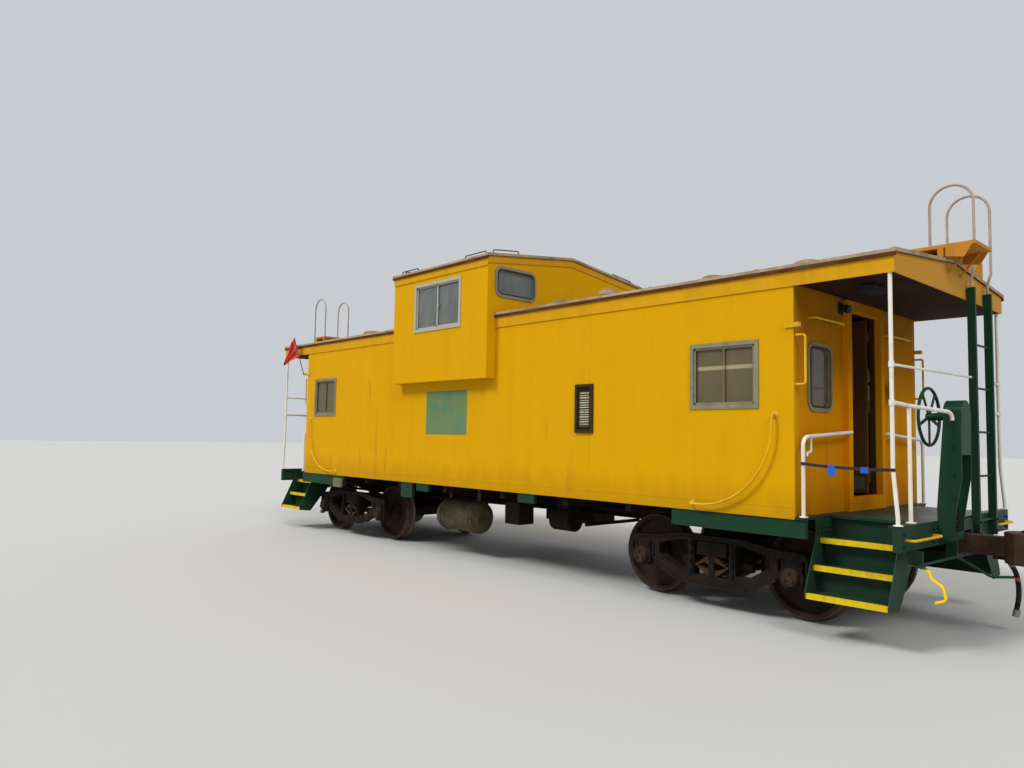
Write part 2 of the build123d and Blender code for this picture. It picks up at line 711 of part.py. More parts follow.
def draft_gear():
    """The spring package behind the front coupler, between the webs of the sill."""
    inner = SILL_HALF - SILL_WEB - SEAT_GAP
    behind, ahead, half = DRAFT_GEAR
    x = (COUPLER_PIVOT - behind, COUPLER_PIVOT - ahead)
    return block(x, (-inner, inner), (COUPLER_Z - half, COUPLER_Z + half))


keep("underframe", *centre_sills())
keep("underframe", *turned([centre_plate(), draft_gear()]))
keep("underframe", *turned(mirrored([bolster_wing(), outrigger()])))
keep("underframe", *mirrored([cross_beam(x, depth) for x, depth in CROSS_BEAMS]))

# Green sills and hangers below the right side: low X, high X, depth
SKIRTS = [
    (BODY_HALF - 1329.0, STEP_X[0] - SEAT_GAP, 163.0),
    (SEAT_GAP - STEP_X[0], 1329.0 - BODY_HALF, 163.0),
    (-1584.0, -1307.0, 221.0),
    (-1201.0, -921.0, 110.0),
    (948.0, 1235.0, 115.0),
]
SKIRT_INSET = (14.5, 64.5)
for low, high, depth in SKIRTS:
    skirt_y = (SKIRT_INSET[0] - SIDE, SKIRT_INSET[1] - SIDE)
    skirt = block((low, high), skirt_y, (BODY_BOTTOM - depth, BODY_BOTTOM))
    keep("side_sills", *mirrored([skirt]))


# Platforms


def platform():
    """The front platform: a deck with two stairwells, and the end sill with its striker."""
    x0, x1 = STEP_X
    half, edge = DECK_HALF, STEP_EDGE
    right = [(BODY_HALF, -half), (x0, -half), (x0, -edge), (x1, -edge), (x1, -half), (END_FACE, -half)]
    left = [(x, -y) for x, y in right[::-1]]
    under = BODY_BOTTOM
    deck = across_z(right + left, (under, DECK_TOP))
    striker_x = (SILL_FACE, END_FACE + STRIKER_PROUD)
    low = COUPLER_Z - STRIKER_DROP
    for side in (-1, 1):
        y = sorted((side * END_SILL_GAP, side * half))
        deck += block((SILL_FACE, END_FACE), y, (END_SILL_BOTTOM, under))
        foot = sorted((side * SILL_HALF, side * END_SILL_GAP))
        deck += block(striker_x, foot, (low, under))
    inner = SILL_HALF
    deck += block(striker_x, (-inner, inner), (COUPLER_Z + STRIKER_RAISE, under))
    carrier = COUPLER_Z - SHANK_TALL / 2 - SEAT_GAP
    return deck + block(striker_x, (-inner, inner), (low, carrier))


keep("platforms", *turned([platform()]))


def steps():
    """The front right steps: two side plates, and three treads, each with its riser."""
    x0, x1 = STEP_X
    under = BODY_BOTTOM
    first = STEP_FIRST_NOSING
    last = first + (STEP_COUNT - 1) * STEP_GOING
    low = STEP_TOP - (STEP_COUNT - 1) * STEP_RISE
    outline = [
        (-first - 85, under),
        (-first - 90, STEP_TOP + 15),
        (-last - 15, low + 5),
        (-last - 20, low - 35),
        (-last + 195, low - 60),
        (-STEP_BACK, STEP_TOP - 85),
        (-STEP_BACK, under),
    ]
    flight = [across_x(outline, (x, x + STEP_PLATE)) for x in (x0, x1 - STEP_PLATE)]
    inside = (x0 + STEP_PLATE + SEAT_GAP, x1 - STEP_PLATE - SEAT_GAP)
    above = under
    for number in range(STEP_COUNT):
        nosing = -first - number * STEP_GOING
        top = STEP_TOP - number * STEP_RISE
        back = nosing + STEP_DEPTH
        tread = block(inside, (nosing, back), (top - STEP_PLATE, top))
        flight.append(tread + block(inside, (back - STEP_PLATE, back), (top, above)))
        above = top - STEP_PLATE - SEAT_GAP
    return flight


def nosings():
    """The bright strips on the front edges of the front right treads."""
    strips = []
    depth, height = NOSING
    for number in range(STEP_COUNT):
        edge = -STEP_FIRST_NOSING - number * STEP_GOING
        top = STEP_TOP - number * STEP_RISE
        x = (STEP_X[0] + STEP_PLATE, STEP_X[1] - STEP_PLATE)
        outline = [
            (edge - NOSING_PLATE, top - height),
            (edge, top - height),
            (edge, top),
            (edge + depth, top),
            (edge + depth, top + NOSING_PLATE),
            (edge - NOSING_PLATE, top + NOSING_PLATE),
        ]
        strips.append(across_x(outline, x))
    return strips


keep("steps", *turned(mirrored(steps())))
keep("step_nosings", *turned(mirrored(nosings())))


# Railings, ladders and hoops

POST_TOP_X = END_FACE - 55.0
POST_FOOT_X = END_FACE - 22.0
POST_BEND_Z = DECK_TOP + 450.0
HIGH_RAIL_Z = DECK_TOP + 1310.0
MID_RAIL_Z = DECK_TOP + 995.0
MID_POST_Y = 375.0 - DECK_HALF
HAND_RAIL_Z = (DECK_TOP + 705.0, DECK_TOP + 765.0)
LADDER_X = END_FACE + STILE[0] / 2


def corner_post():
    """The front right corner post, cranked near its foot."""
    points = [
        (POST_FOOT_X, -POST_Y, DECK_TOP),
        (POST_FOOT_X, -POST_Y, DECK_TOP + 60),
        (POST_TOP_X, -POST_Y, POST_BEND_Z),
        (POST_TOP_X, -POST_Y, FASCIA_BOTTOM),
    ]
    return bar(points, RAIL_R, 200.0)


def eased(start, end, radius):
    """A pipe between two uprights: its ends run square to them, its middle slants."""
    lead = 70.0 if end[1] > start[1] else -70.0
    points = [start, (start[0], start[1] + lead, start[2]), (end[0], end[1] - lead, end[2]), end]
    return bar(points, radius, 60.0)


def railings():
    """The pipes round the front platform."""
    gap = RAIL_R + SEAT_GAP
    post_x, post_y = POST_TOP_X, POST_Y - gap
    rail_x = END_FACE + 22
    stile_low = LADDER_Y[0] - STILE[1] / 2 - SEAT_GAP
    stile_high = LADDER_Y[1] + STILE[1] / 2 + SEAT_GAP
    stand_side = STAND_Y[0] - gap
    middle = [
        (post_x, -post_y, MID_RAIL_Z),
        (post_x, -post_y + 70, MID_RAIL_Z),
        (post_x, MID_POST_Y, MID_RAIL_Z - 12),
        (STAND_FRONT - 65, stand_side, MID_RAIL_Z - 55),
        (STAND_FRONT - 65, stand_side, MID_RAIL_Z - 125),
    ]
    post_top = MID_RAIL_Z - 14 - gap
    pieces = mirrored([corner_post()]) + [
        bar(middle, RAIL_R, 60.0),
        bar([(post_x, MID_POST_Y, DECK_TOP), (post_x, MID_POST_Y, post_top)], RAIL_R),
        eased((post_x, -post_y, HIGH_RAIL_Z), (rail_x, stile_low, HIGH_RAIL_Z), THIN_RAIL_R),
        eased((post_x, post_y, HIGH_RAIL_Z), (rail_x, stile_high, HIGH_RAIL_Z), THIN_RAIL_R),
        eased((post_x, post_y, MID_RAIL_Z), (rail_x, stile_high, MID_RAIL_Z), RAIL_R),
    ]
    by_door = BODY_HALF + SURROUND_PROUD + gap
    hand = [
        (by_door, -POST_Y, DECK_TOP),
        (by_door, -POST_Y, HAND_RAIL_Z[0]),
        (by_door, -DOOR_WIDTH / 2 - SURROUND_BORDER + 20, HAND_RAIL_Z[1]),
    ]
    return pieces + mirrored([bar(hand, RAIL_R, 90.0)])


def ladder():
    """The front ladder: two stiles outside the end sill and the rungs between them."""
    x = (END_FACE, END_FACE + STILE[0])
    pieces = []
    for y in LADDER_Y:
        half = STILE[1] / 2
        pieces.append(block(x, (y - half, y + half), (LADDER_BOTTOM, LADDER_TOP)))
    body = pieces[0] + pieces[1]
    for number in range(RUNG_COUNT):
        z = RUNG_FIRST + number * RUNG_STEP
        body += bar([(LADDER_X, LADDER_Y[0], z), (LADDER_X, LADDER_Y[1], z)], RUNG_R)
    return body


def hoops():
    """The two arches over the roof's edge, from the walk to the tops of the ladder's stiles."""
    pieces = []
    low, high = HOOP_X
    bend = (high - low) / 2 - 1
    for y in LADDER_Y:
        points = [
            (low, y, WALK_TOP + SEAT_GAP),
            (low, y, HOOP_TOP),
            (high, y, HOOP_TOP),
            (high, y, LADDER_TOP + 210),
            (LADDER_X, y, LADDER_TOP + 90),
            (LADDER_X, y, LADDER_TOP + SEAT_GAP),
        ]
        pieces.append(bar(points, HOOP_R, [bend, bend, 60.0, 60.0]))
    return pieces


def roof_walk():
    """The walk at the front end of the roof: a board past the end and an arm to the ladder."""
    low = WALK_TOP - WALK_THICK
    y0, y1 = WALK_Y
    x0, x1 = WALK_X
    end = ROOF_HALF + ROOF_LIP
    walk = block((x0, x1), (y0, y1), (low, WALK_TOP))
    walk += block((HOOP_X[0] - 45, ROOF_HALF), (y1, WALK_ARM), (low, WALK_TOP))
    skirt = [
        (end + SEAT_GAP, low),
        (end + SEAT_GAP, WALK_TOP - 115),
        (x1 - 95, WALK_TOP - 140),
        (x1 - 30, low),
    ]
    walk += across_y(skirt, (y0, y0 + 6)) + across_y(skirt, (y1 - 6, y1))
    for x in (x0 + 60, HOOP_X[0] - 20, ROOF_HALF - 50):
        arm = WALK_ARM if x > HOOP_X[0] - 45 else y1
        outline = [(y0, low), (arm, low), (arm, roof_height(arm)), (0, roof_height(0))]
        walk += across_x(outline + [(y0, roof_height(y0))], (x, x + 50))
    for y in (y0 + 125, y1 - 45):
        walk += bar([(ROOF_HALF + STAY_R, y, EAVE - 2), (x1 - 75, y, low + 5)], STAY_R)
    return walk


keep("railings", *turned(railings()))
keep("ladders", *turned([ladder()]))
keep("roof_hoops", *turned(hoops()))
keep("roof_walks", *turned([roof_walk()]))


# Brake stand and wheel


def brake_stand():
    """The front brake stand: a case outside the end sill, open low down, with a round cap."""
    x0, x1 = END_FACE, STAND_FRONT
    outline = [
        (x0, END_SILL_BOTTOM + 50),
        (x1 - 75, END_SILL_BOTTOM + 50),
        (x1 - 65, DECK_TOP + 30),
        (x1 - 5, DECK_TOP + 390),
        (x1, STAND_TOP - 85),
        (x0 + 68, STAND_TOP - 85),
        (x0, DECK_TOP + 130),
    ]
    case = across_y(outline, STAND_Y)
    middle = sum(STAND_Y) / 2
    half = (STAND_Y[1] - STAND_Y[0]) / 2
    wall = STAND_WALL
    slot_z = (END_SILL_BOTTOM + 120, STAND_SLOT_TOP)
    case -= block((x0 - 10, x1 + 10), (middle - half + wall, middle + half - wall), slot_z)
    cap_place = Plane(origin=(x0 + 60, middle, STAND_TOP - half), z_dir=(1, 0, 0))
    case += extrude(cap_place * Circle(half), x1 - x0 - 60)
    boss = Plane(origin=(BRAKE_WHEEL_X + 38.5, middle, BRAKE_WHEEL_Z), z_dir=(1, 0, 0)) * Circle(34)
    return case + extrude(boss, x0 + 80 - BRAKE_WHEEL_X - 38.5)


def brake_wheel():
    """The front brake wheel: a rim, five spokes and a hub on its shaft."""
    middle = sum(STAND_Y) / 2
    reach = BRAKE_WHEEL_R - BRAKE_WHEEL_RIM
    rim = Torus(reach, BRAKE_WHEEL_RIM)
    hub = Pos(0, 0, 8) * Cylinder(32, 60)
    wheel = rim + hub
    for number in range(5):
        wheel += Rot(0, 0, 72 * number) * Pos(reach / 2, 0, 0) * Box(reach, 26, 12)
    return Pos(BRAKE_WHEEL_X, middle, BRAKE_WHEEL_Z) * Rot(0, 90, 0) * wheel


keep("brake_stands", *turned([brake_stand()]))
front_wheel = brake_wheel()
keep("brake_wheel_front", front_wheel)
keep("brake_wheel_rear", TURN * front_wheel)


# Grab irons and brackets


CURVE_OFF = 60.0
CURVE_BEND = 780.0


def side_curve():
    """The curved hand iron low on the front right side."""
    high, low = (BODY_HALF - 187.0, BODY_BOTTOM + 931.0), (BODY_HALF - 1069.0, BODY_BOTTOM + 65.0)
    out = -SIDE - CURVE_OFF
    points = [
        (high[0], -SIDE, high[1]),
        (high[0], out, high[1]),
        (high[0], out, low[1]),
        (low[0], out, low[1]),
        (low[0], -SIDE, low[1]),
    ]
    return bar(points, GRAB_R, [30.0, CURVE_BEND, 30.0])


def staple(start, end, out, radius=GRAB_R):
    """A grab iron: a straight bar held off its face by a leg at each end."""
    a, b, away = Vector(*start), Vector(*end), Vector(*out)
    return bar([a, a + away, b + away, b], radius, 26.0)


def end_grabs():
    """The hand irons of the front end, right half."""
    wall, upright, level = BODY_HALF, 24.5 - SIDE, FASCIA_BOTTOM - 256.0
    return [
        staple((wall, upright, FASCIA_BOTTOM - 444.0), (wall, upright, FASCIA_BOTTOM - 890.0), (95, 0, 0)),
        staple((wall, 279.5 - SIDE, level), (wall, 889.5 - SIDE, level), (62, 0, 0)),
    ]


def sill_grab(y):
    """A hand iron on the front end sill."""
    z = (END_SILL_BOTTOM + BODY_BOTTOM) / 2
    return staple((END_FACE, y[0], z), (END_FACE, y[1], z), (70, 0, 0))


SILL_GRABS = [(115.0 - DECK_HALF, 715.0 - DECK_HALF), (DECK_HALF - 535.0, DECK_HALF - 105.0)]
MARKER_X = (BODY_HALF - 82.0, BODY_HALF + 68.0)
MARKER_Z = (FASCIA_BOTTOM - 376.0, FASCIA_BOTTOM - 336.0)
MARKER_ARM = 16.0
MARKER_TAB = 28.0


def marker_bracket():
    """The lamp bracket at the front right corner: a flat arm past the end, and its tab."""
    arm = block(MARKER_X, (-SIDE - MARKER_ARM, -SIDE), MARKER_Z)
    tab_x = (MARKER_X[1] - 40.0, MARKER_X[1])
    return arm + block(tab_x, (-SIDE - MARKER_ARM - MARKER_TAB, -SIDE - MARKER_ARM), MARKER_Z)


# Rods on the cupola's roof, right side: start X, start Y, end X, end Y
ROD_Y = (140.0 - CUPOLA_EDGE, 170.0 - CUPOLA_EDGE, 620.0 - CUPOLA_EDGE)
CUPOLA_RODS = [
    (CUPOLA_FRONT - 609.0, ROD_Y[0], CUPOLA_FRONT - 169.0, ROD_Y[0]),
    (CUPOLA_REAR + 25.0, ROD_Y[0], CUPOLA_REAR + 435.0, ROD_Y[0]),
    (CUPOLA_FRONT - 64.0, ROD_Y[1], CUPOLA_FRONT - 64.0, ROD_Y[2]),
    (CUPOLA_REAR + 65.0, ROD_Y[1], CUPOLA_REAR + 65.0, ROD_Y[2]),
]
ROD_RISE = 62.0
ROD_R = 8.0


def cupola_height(y):
    """The height of the cupola roof's upper side at a distance from the middle."""
    return CUPOLA_EAVE + CUPOLA_RISE * (1 - abs(y) / CUPOLA_EDGE)


def cupola_rods():
    """The hold-down rods near the corners of the cupola's roof, right side."""
    pieces = []
    for x0, y0, x1, y1 in CUPOLA_RODS:
        feet = [(x0, y0, cupola_height(y0) + 1.4), (x1, y1, cupola_height(y1) + 1.4)]
        pieces.append(staple(feet[0], feet[1], (0, 0, ROD_RISE), ROD_R))
    return pieces


side_images = mirrored([side_curve(), marker_bracket()] + end_grabs())
keep("grab_irons", *turned(side_images + [sill_grab(y) for y in SILL_GRABS]))
keep("roof_rods", *mirrored(cupola_rods()))


# Couplers


def coupler():
    """The front coupler: a shank, a head with its guard arm, and a closed knuckle."""
    z = (COUPLER_Z - SHANK_TALL / 2, COUPLER_Z + SHANK_TALL / 2)
    half = SHANK_HALF
    face = PULLING_FACE
    shank = block((COUPLER_PIVOT - SHANK_BEHIND, face - 260), (-half, half), z)
    head_outline = [
        (face - 300, -half),
        (face - 200, -175.0),
        (face - 95, -190.0),
        (face - 75, -120.0),
        (face - 95, 40.0),
        (face - 60, 118.0),
        (face + 20, 185.0),
        (face + 30, 222.0),
        (face - 60, 226.0),
        (face - 180, 176.0),
        (face - 300, half),
    ]
    head = across_z(head_outline, (COUPLER_Z - HEAD_HALF, COUPLER_Z + HEAD_HALF))
    return shank + head


def knuckle():
    """The front coupler's knuckle: a hook, on the pin that holds it in the head."""
    face = PULLING_FACE
    outline = [
        (face - 92, -188.0),
        (face - 30, -176.0),
        (face + 22, -110.0),
        (face + 24, -20.0),
        (face, 24.0),
        (face - 46, 30.0),
        (face - 52, -10.0),
        (face - 68, -100.0),
    ]
    hook = across_z(outline, (COUPLER_Z - HOOK_HALF, COUPLER_Z + HOOK_HALF))
    return hook + Pos(face - 84, -146.0, COUPLER_Z) * Cylinder(KNUCKLE_PIN_R, 2 * HEAD_HALF + 24)


for name, place in (("coupler_front", Pos(0, 0, 0)), ("coupler_rear", TURN)):
    keep(name, place * (coupler() + knuckle()))


# Uncoupling lever, train line and hoses


LEVER_R = 12.0
LEVER_Z = 690.0
LEVER_END_Y = 165.0 - DECK_HALF


def uncoupling_lever():
    """The front lever: a handle, a rod along the end sill in a bracket, and a crank."""
    y, z = LEVER_END_Y, LEVER_Z
    points = [
        (END_FACE + 194, y, z - 270),
        (END_FACE + 275, y, z - 240),
        (END_FACE + 252, y, z - 138),
        (END_FACE + 165, y, z - 85),
        (END_FACE + 152, y, z - 22),
        (END_FACE + 60, y, z),
        (END_FACE + 60, -330.0, z - 5),
        (END_FACE + 302, -230.0, z - 159),
        (END_FACE + 465, -200.0, z - 140),
    ]
    rod = bar(points, LEVER_R, [35.0, 60.0, 60.0, 45.0, 50.0, 80.0, 80.0])
    bracket_x = (END_FACE - 40, END_FACE + 75)
    return rod + block(bracket_x, (y + 80, y + 110), (z - 15, END_SILL_BOTTOM))


keep("uncoupling_levers", *turned([uncoupling_lever()]))

PIPE_Y = 330.0
PIPE_R = 21.0
PIPE_Z = SILL_BOTTOM - PIPE_R - SEAT_GAP
PIPE_END = SILL_FACE - 100.0
PIPE_CROSS = 2400.0
COCK_HALF = 46.0
HOSE_R = 22.0
# The front hose, from the nipple down to the coupling head
HOSE_ROUTE = [
    (5752.0, 330.0, 604.0),
    (5797.0, 330.0, 534.0),
    (5815.0, 333.0, 445.0),
    (5819.0, 336.0, 350.0),
    (5812.0, 338.0, 262.0),
    (5796.0, 339.0, 185.0),
]


def train_line():
    """The brake pipe under the body, crossing from one side at the rear to the other."""
    start = (-PIPE_END, -PIPE_Y, PIPE_Z)
    crossing = [(-PIPE_CROSS, -PIPE_Y, PIPE_Z), (PIPE_CROSS, PIPE_Y, PIPE_Z)]
    return bar([start] + crossing + [(PIPE_END, PIPE_Y, PIPE_Z)], PIPE_R, 400.0)


def angle_cock():
    """The front angle cock: a body with its handle and the nipple that the hose fits."""
    nipple = Vector(*HOSE_ROUTE[0])
    x = nipple.X - 82
    along = Plane(origin=(PIPE_END + SEAT_GAP, PIPE_Y, PIPE_Z), z_dir=(1, 0, 0))
    pipe = extrude(along * Circle(PIPE_R), x - PIPE_END - SEAT_GAP)
    body = block((x - COCK_HALF, x + COCK_HALF), (PIPE_Y - 34, PIPE_Y + 34), (PIPE_Z - 46, PIPE_Z + 30))
    way = (Vector(*HOSE_ROUTE[1]) - nipple).normalized()
    neck = extrude(Plane(origin=nipple - way * 70, z_dir=way) * Circle(30), 70)
    top = PIPE_Z + 30
    handle = block((x - 60, x + 60), (PIPE_Y - 12, PIPE_Y + 12), (top, top + 12))
    return pipe + body + neck + handle


def hose():
    """The front hose, from the nipple to the coupling head."""
    path = FilletPolyline(*HOSE_ROUTE, radius=HOSE_BENDS)
    return sweep(Plane(origin=path @ 0, z_dir=path % 0) * Circle(HOSE_R), path=path)


def bend_radii(route, share=0.45):
    """The largest bend that the runs beside each point of a route allow."""
    radii = []
    for before, here, after in zip(route, route[1:], route[2:]):
        into = Vector(*here) - Vector(*before)
        away = Vector(*after) - Vector(*here)
        angle = radians(into.get_angle(away))
        radii.append(share * min(into.length, away.length) / tan(angle / 2))
    return radii


HOSE_BENDS = bend_radii(HOSE_ROUTE)


def coupling_head():
    """The front hose's coupling: a barrel on the hose's end and a flat face beside it."""
    end, before = Vector(*HOSE_ROUTE[-1]), Vector(*HOSE_ROUTE[-2])
    way = (end - before).normalized()
    plane = Plane(origin=end, x_dir=(0, 1, 0), z_dir=way)
    barrel = extrude(plane * Circle(26), 62)
    face = plane * Pos(26, 0, 40) * Box(74, 44, 60)
    return barrel + face


keep("train_line", train_line(), *turned([angle_cock()]))
keep("air_hoses", *turned([hose()]))
keep("hose_couplings", *turned([coupling_head()]))


# Gear under the floor


TANK_X = (-1190.0, -290.0)
TANK_Y = -860.0
TANK_DROP = 455.0
TANK_R = 215.0
# Middles of the brake cylinder, its rod and lever, and the valve's and the box's places
CYLINDER = (980.0, -560.0)
CYLINDER_DROP = 365.0
CYLINDER_R = 150.0
VALVE = ((240.0, 520.0), (-960.0, -700.0))
BOX = ((-700.0, 300.0), (760.0, 1230.0))


def reservoir():
    """The air tank on the right side, with rounded ends and its hanger straps."""
    x0, x1, y, z, radius = TANK_X[0], TANK_X[1], TANK_Y, BODY_BOTTOM - TANK_DROP, TANK_R
    profile = [(x0, 0), (x0, 120), (x0 + 70, radius), (x1 - 70, radius), (x1, 120), (x1, 0)]
    pieces = Pos(0, y, z) * revolve(Polygon(*profile, align=None), Axis.X)
    for x in (x0 + 130, x1 - 130):
        band = Pos(x, y, z) * Rot(0, 90, 0) * (Cylinder(radius + 10, 50) - Cylinder(radius, 60))
        strap = block((x - 25, x + 25), (y - 12, y + 12), (z + radius + 2, BODY_BOTTOM))
        pieces += band + strap
    return pieces


def brake_gear():
    """The brake cylinder, its levers and the control valve, hung from the floor."""
    (x, y), z, top = CYLINDER, BODY_BOTTOM - CYLINDER_DROP, BODY_BOTTOM
    cylinder = Pos(x, y, z) * Rot(0, 90, 0) * Cylinder(CYLINDER_R, 330)
    cylinder += Pos(x + 280, y, z) * Rot(0, 90, 0) * Cylinder(24, 300)
    cylinder += block((x - 100, x + 100), (y - 60, y + 60), (z + 80, top))
    lever = block((x + 405, x + 435), (y - 80, y + 980), (z - 50, z - 10))
    (x0, x1), (y0, y1) = VALVE
    valve = block((x0, x1), (y0, y1), (top - 465, top - 185))
    valve += block((x0 + 60, x1 - 60), (y0 + 60, y1 - 60), (top - 185, top))
    (x0, x1), (y0, y1) = BOX
    box = block((x0, x1), (y0, y1), (top - 585, top - 225))
    for x in (x0 + 220, x1 - 140):
        box += block((x, x + 40), (y0, y1), (top - 225, top))
    return [cylinder + lever, valve, box]


keep("air_reservoir", reservoir())
cylinder, valve, battery_box = brake_gear()
keep("brake_cylinder", cylinder)
keep("control_valve", valve)
keep("battery_box", battery_box)


# Flag

STAFF_R = 8.0
STAFF_OUT = SIDE + MARKER_ARM + MARKER_TAB + STAFF_R + SEAT_GAP
STAFF_FOOT = Vector(18.0 - MARKER_X[1], -STAFF_OUT, MARKER_Z[0])
STAFF_TOP = STAFF_FOOT + Vector(-258.0, -88.2, 690.0)
FLAG_TIP = STAFF_FOOT + Vector(-643.0, -78.2, 205.0)
FLAG_THICK = 8.0


def flag():
    """The red flag, plain: a hanging sheet from the staff to its low corner."""
    up = (STAFF_TOP - STAFF_FOOT).normalized()
    away = (FLAG_TIP - STAFF_TOP).normalized()
    normal = away.cross(up).normalized()
    out = up.cross(normal).normalized()
    shift = out * (STAFF_R + SEAT_GAP)
    if (STAFF_TOP + shift - FLAG_TIP).length > (STAFF_TOP - shift - FLAG_TIP).length:
        shift = shift * -1
    top = STAFF_TOP - up * 12 + shift
    low = STAFF_TOP - up * 380 + shift
    plane = Plane(origin=top, x_dir=away, z_dir=normal)
    corners = [plane.to_local_coords(point) for point in (top, low, FLAG_TIP)]
    outline = Polygon(*[(corner.X, corner.Y) for corner in corners], align=None)
    return extrude(plane * outline, FLAG_THICK / 2, both=True)


keep("flag_staff", bar([STAFF_FOOT, STAFF_TOP], STAFF_R))
keep("flag", flag())


# Low caps on the roof: X, Y, radius, height
CAPS = [
    (CUPOLA_FRONT + 831.0, -1000.0, 150.0, 75.0),
    (CUPOLA_FRONT + 1561.0, -1010.0, 110.0, 120.0),
    (BODY_HALF - 1132.0, -950.0, 120.0, 80.0),
    (BODY_HALF - 102.0, -930.0, 130.0, 80.0),
    (1422.0 - BODY_HALF, -980.0, 160.0, 85.0),
]


def roof_cap(x, y, radius, height):
    """A round vent on the roof: a short neck under a wider, bevelled cap."""
    low = roof_height(y)
    slope = ROOF_RISE / ROOF_EDGE
    profile = [
        (0.0, -radius * slope),
        (radius * 0.7, -radius * slope),
        (radius * 0.7, height * 0.45),
        (radius, height * 0.45),
        (radius, height * 0.8),
        (radius * 0.75, height),
        (0.0, height),
    ]
    cap = Pos(x, y, low) * revolve(Plane.XZ * Polygon(*profile, align=None), Axis.Z)
    deep = EAVE - 2 * radius
    under = pitched(ROOF_EDGE, EAVE, ROOF_RISE) + [(ROOF_EDGE, deep), (-ROOF_EDGE, deep)]
    below = across_x(under, (x - 2 * radius, x + 2 * radius))
    return cap - below


keep("roof_caps", *[roof_cap(*row) for row in CAPS])


# Trucks


BEAM_X = WHEELBASE / 2 - (WHEEL_R + 3 + SHOE_GAP) - 66


def side_frame():
    """The right side frame of a truck about its middle: a cast truss with two jaws."""
    axle = WHEELBASE / 2
    leg = 25.0
    jaw = JAW_HALF
    top = [
        (0.0, FRAME_TOP),
        (360.0, FRAME_TOP),
        (690.0, 655.0),
        (axle + jaw - 10, 640.0),
        (axle + jaw + leg, 600.0),
        (axle + jaw + leg, 330.0),
        (axle + jaw, 330.0),
        (axle + jaw, JAW_TOP),
        (axle - jaw, JAW_TOP),
        (axle - jaw, 400.0),
        (axle - jaw - 45, 370.0),
        (380.0, 225.0),
        (0.0, 215.0),
    ]
    outline = top + [(-x, z) for x, z in top[-2:0:-1]]
    plate = across_y(outline, (-FRAME_Y[1], -FRAME_Y[0]))
    x0, x1, z0, z1 = FRAME_WINDOW
    plate -= block((x0, x1), (-FRAME_Y[1] - 5, 5 - FRAME_Y[0]), (z0, z1))
    for side in (-1, 1):
        window = [(side * 275, 340), (side * 275, 640), (side * 370, 640), (side * 640, 575),
                  (side * 640, 470), (side * 400, 330)]
        plate -= across_y(window, (-FRAME_Y[1] - 5, -FRAME_Y[0] + 5))
        guide_x = sorted((side * (FRAME_WINDOW[1] + 10), side * (BEAM_X + BEAM_R + 6)))
        guide_z = (WHEEL_R - BEAM_R - 6, WHEEL_R + BEAM_R + 6)
        plate += block(guide_x, (-FRAME_Y[0] - 10, -BEAM_REACH), guide_z)
    return plate


def leaf_spring():
    """A full elliptic leaf spring under one end of the bolster: two bowed packs of leaves."""
    low = FRAME_WINDOW[2] + SEAT_GAP
    high = BOLSTER_END - SEAT_GAP
    middle = (low + high) / 2
    eye = LEAF_REACH - LEAF_EYE
    bow = high - middle - LEAF_COUNT * LEAF_THICK

    def bowed(x, leaves):
        """A point of the curve that lies above a number of leaves."""
        share = min(abs(x) / eye, 1.0)
        return (x, middle + bow * (1 - share * share) + LEAF_THICK * leaves)

    ends = [LEAF_REACH * (1 - number / (LEAF_COUNT + 1)) for number in range(LEAF_COUNT)] + [0.0]
    right = [(LEAF_REACH, middle)]
    for number, (end, next_end) in enumerate(zip(ends, ends[1:]), 1):
        right += [bowed(end, number), bowed((end + next_end) / 2, number), bowed(next_end, number)]
    left = [(-x, z) for x, z in right[-2::-1]]
    inside = [bowed(eye * step / 4, 0) for step in range(-4, 5)]
    y = (-FRAME_Y[1] + 8, -FRAME_Y[0] + 60)
    upper = across_y(right + left + inside, y)
    upper += block((-SPRING_BAND, SPRING_BAND), y, (middle + bow - 4, high))
    return upper + mirror(upper, about=Plane.XY.offset(middle))


def truck_bolster():
    """A truck's bolster: a deep beam between the frames, with its bowl and bearings."""
    reach = FRAME_Y[1] - 4
    outline = [
        (-reach, BOLSTER_END), (-880.0, BOLSTER_END), (-560.0, 430.0), (560.0, 430.0),
        (880.0, BOLSTER_END), (reach, BOLSTER_END), (reach, BOLSTER_TOP), (-reach, BOLSTER_TOP),
    ]
    beam = across_x(outline, (-BOLSTER_HALF, BOLSTER_HALF))
    bowl_top = CENTRE_PLATE_BOTTOM + 20
    rise = bowl_top - BOLSTER_TOP
    beam += Pos(0, 0, BOLSTER_TOP + rise / 2) * Cylinder(CENTRE_PLATE_R + 32, rise)
    recess = CENTRE_PLATE_BOTTOM - SEAT_GAP
    beam -= Pos(0, 0, recess + 50) * Cylinder(CENTRE_PLATE_R + 3, 100)
    for side in (-1, 1):
        y = (side * SIDE_BEARING_Y - 55, side * SIDE_BEARING_Y + 55)
        beam += block((-100, 100), y, (BOLSTER_TOP, BOLSTER_TOP + SIDE_BEARING_RISE))
    return beam


def bearing():
    """A roller bearing's cup with the adapter that seats it in the frame's jaw."""
    y0, y1 = BEARING_Y
    cup = Pos(0, -(y0 + y1) / 2, WHEEL_R) * Rot(90, 0, 0) * Cylinder(BEARING_R, y1 - y0)
    seat = block((-105, 105), (-FRAME_Y[1] - 5, -FRAME_Y[0] + 5), (WHEEL_R + 60, JAW_TOP))
    bore = Pos(0, -(y0 + y1) / 2, WHEEL_R) * Rot(90, 0, 0) * Cylinder(JOURNAL_R + BEARING_FIT, 400)
    return cup + seat - bore


